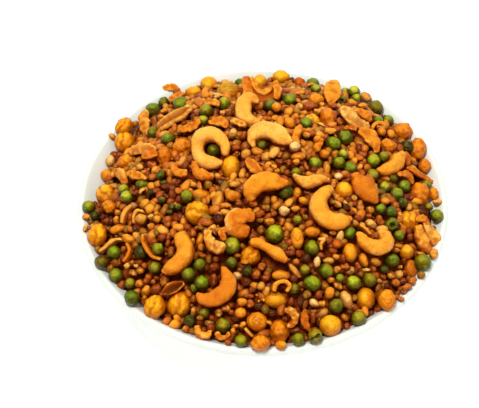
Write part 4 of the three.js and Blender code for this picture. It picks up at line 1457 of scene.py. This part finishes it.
def make_small(ground):
    """Small beans, lentils, crumbs and husks that fill what the large pieces leave."""
    material = grain_material()
    for kind, (shape, count, tints, *poured) in GRAINS.items():
        masters = [shape(seed) for seed in range(count)]
        copies = []
        for place, turn, size in pour(ground, *poured):
            stretch = size * RANDOM.uniform(0.9, 1.1, 3)
            olive = RANDOM.uniform(0, MOST_OLIVE) if RANDOM.uniform() < OLIVE_SHARE else 0.0
            master = masters[RANDOM.integers(count)]
            copies.append((master, place, turn, stretch, RANDOM.uniform(*tints), olive))
        piece = joined(f"small_{kind}s", copies)
        piece.data.materials.append(material)


# ---------------------------------------------------------------- stage


def make_stage():
    """A pale floor, a soft world and three lamps."""
    bpy.ops.object.select_all(action="DESELECT")
    bpy.ops.mesh.primitive_plane_add(size=6.0)
    floor = bpy.context.object
    floor.name = "floor"
    paint = Paint("pale_floor")
    floor.data.materials.append(paint.finish(
        rgba(235, 235, 235), 0.9, Emission_Color=(1, 1, 1, 1), Emission_Strength=0.45, Specular_IOR_Level=0.0
    ))
    world = bpy.data.worlds.new("studio")
    world.use_nodes = True
    world.node_tree.nodes["Background"].inputs["Color"].default_value = (1, 1, 1, 1)
    world.node_tree.nodes["Background"].inputs["Strength"].default_value = 0.3
    bpy.context.scene.world = world
    for name, place, size, power in (
        ("key", (-0.2, -0.2, 1.2), 0.3, 12.3),
        ("fill", (0.9, -0.4, 0.8), 1.2, 3.5),
        ("back", (0.0, 0.9, 0.8), 1.0, 2.5),
    ):
        light = bpy.data.lights.new(name, "AREA")
        light.size, light.energy = size, power
        lamp = bpy.data.objects.new(name, light)
        lamp.location = place
        lamp.rotation_euler = (Vector((0, 0, 0.05)) - lamp.location).to_track_quat("-Z", "Y").to_euler()
        bpy.context.collection.objects.link(lamp)


def make_camera():
    """The photograph's view."""
    lens = bpy.data.cameras.new("camera")
    lens.lens, lens.sensor_width = LENS_MM, SENSOR_MM
    lens.clip_start, lens.clip_end = 0.05, 20.0
    camera = bpy.data.objects.new("camera", lens)
    axes = Matrix(np.stack([RIGHT, UP, -FORWARD], axis=1).tolist()).to_4x4()
    camera.matrix_world = Matrix.Translation(Vector(CAMERA_AT * MM)) @ axes
    bpy.context.collection.objects.link(camera)
    bpy.context.scene.camera = camera
    bpy.context.scene.view_settings.view_transform = "Standard"
    bpy.context.scene.view_settings.look = "None"


# ---------------------------------------------------------------- the whole

make_camera()
make_stage()
make_bowl()
make_core()
bands = [band_masters(kind) for kind in BANDS]
band_shapes = sum(bands, [])
ground = Ground(CORE_SINK)
for master in band_shapes:
    ground.cover(master.points)
spots = read_spots()
settle(spots, band_shapes)
make_large(spots, ground)
finishes = {"nut": nut_material("fried_cashew", 0.35), "chip": nut_material("crisp_flake", 0.48)}
for kind, masters in zip(BANDS, bands):
    make_bands(kind, masters, finishes[kind.finish])
make_small(ground)
mark_occlusion_shade(ground)
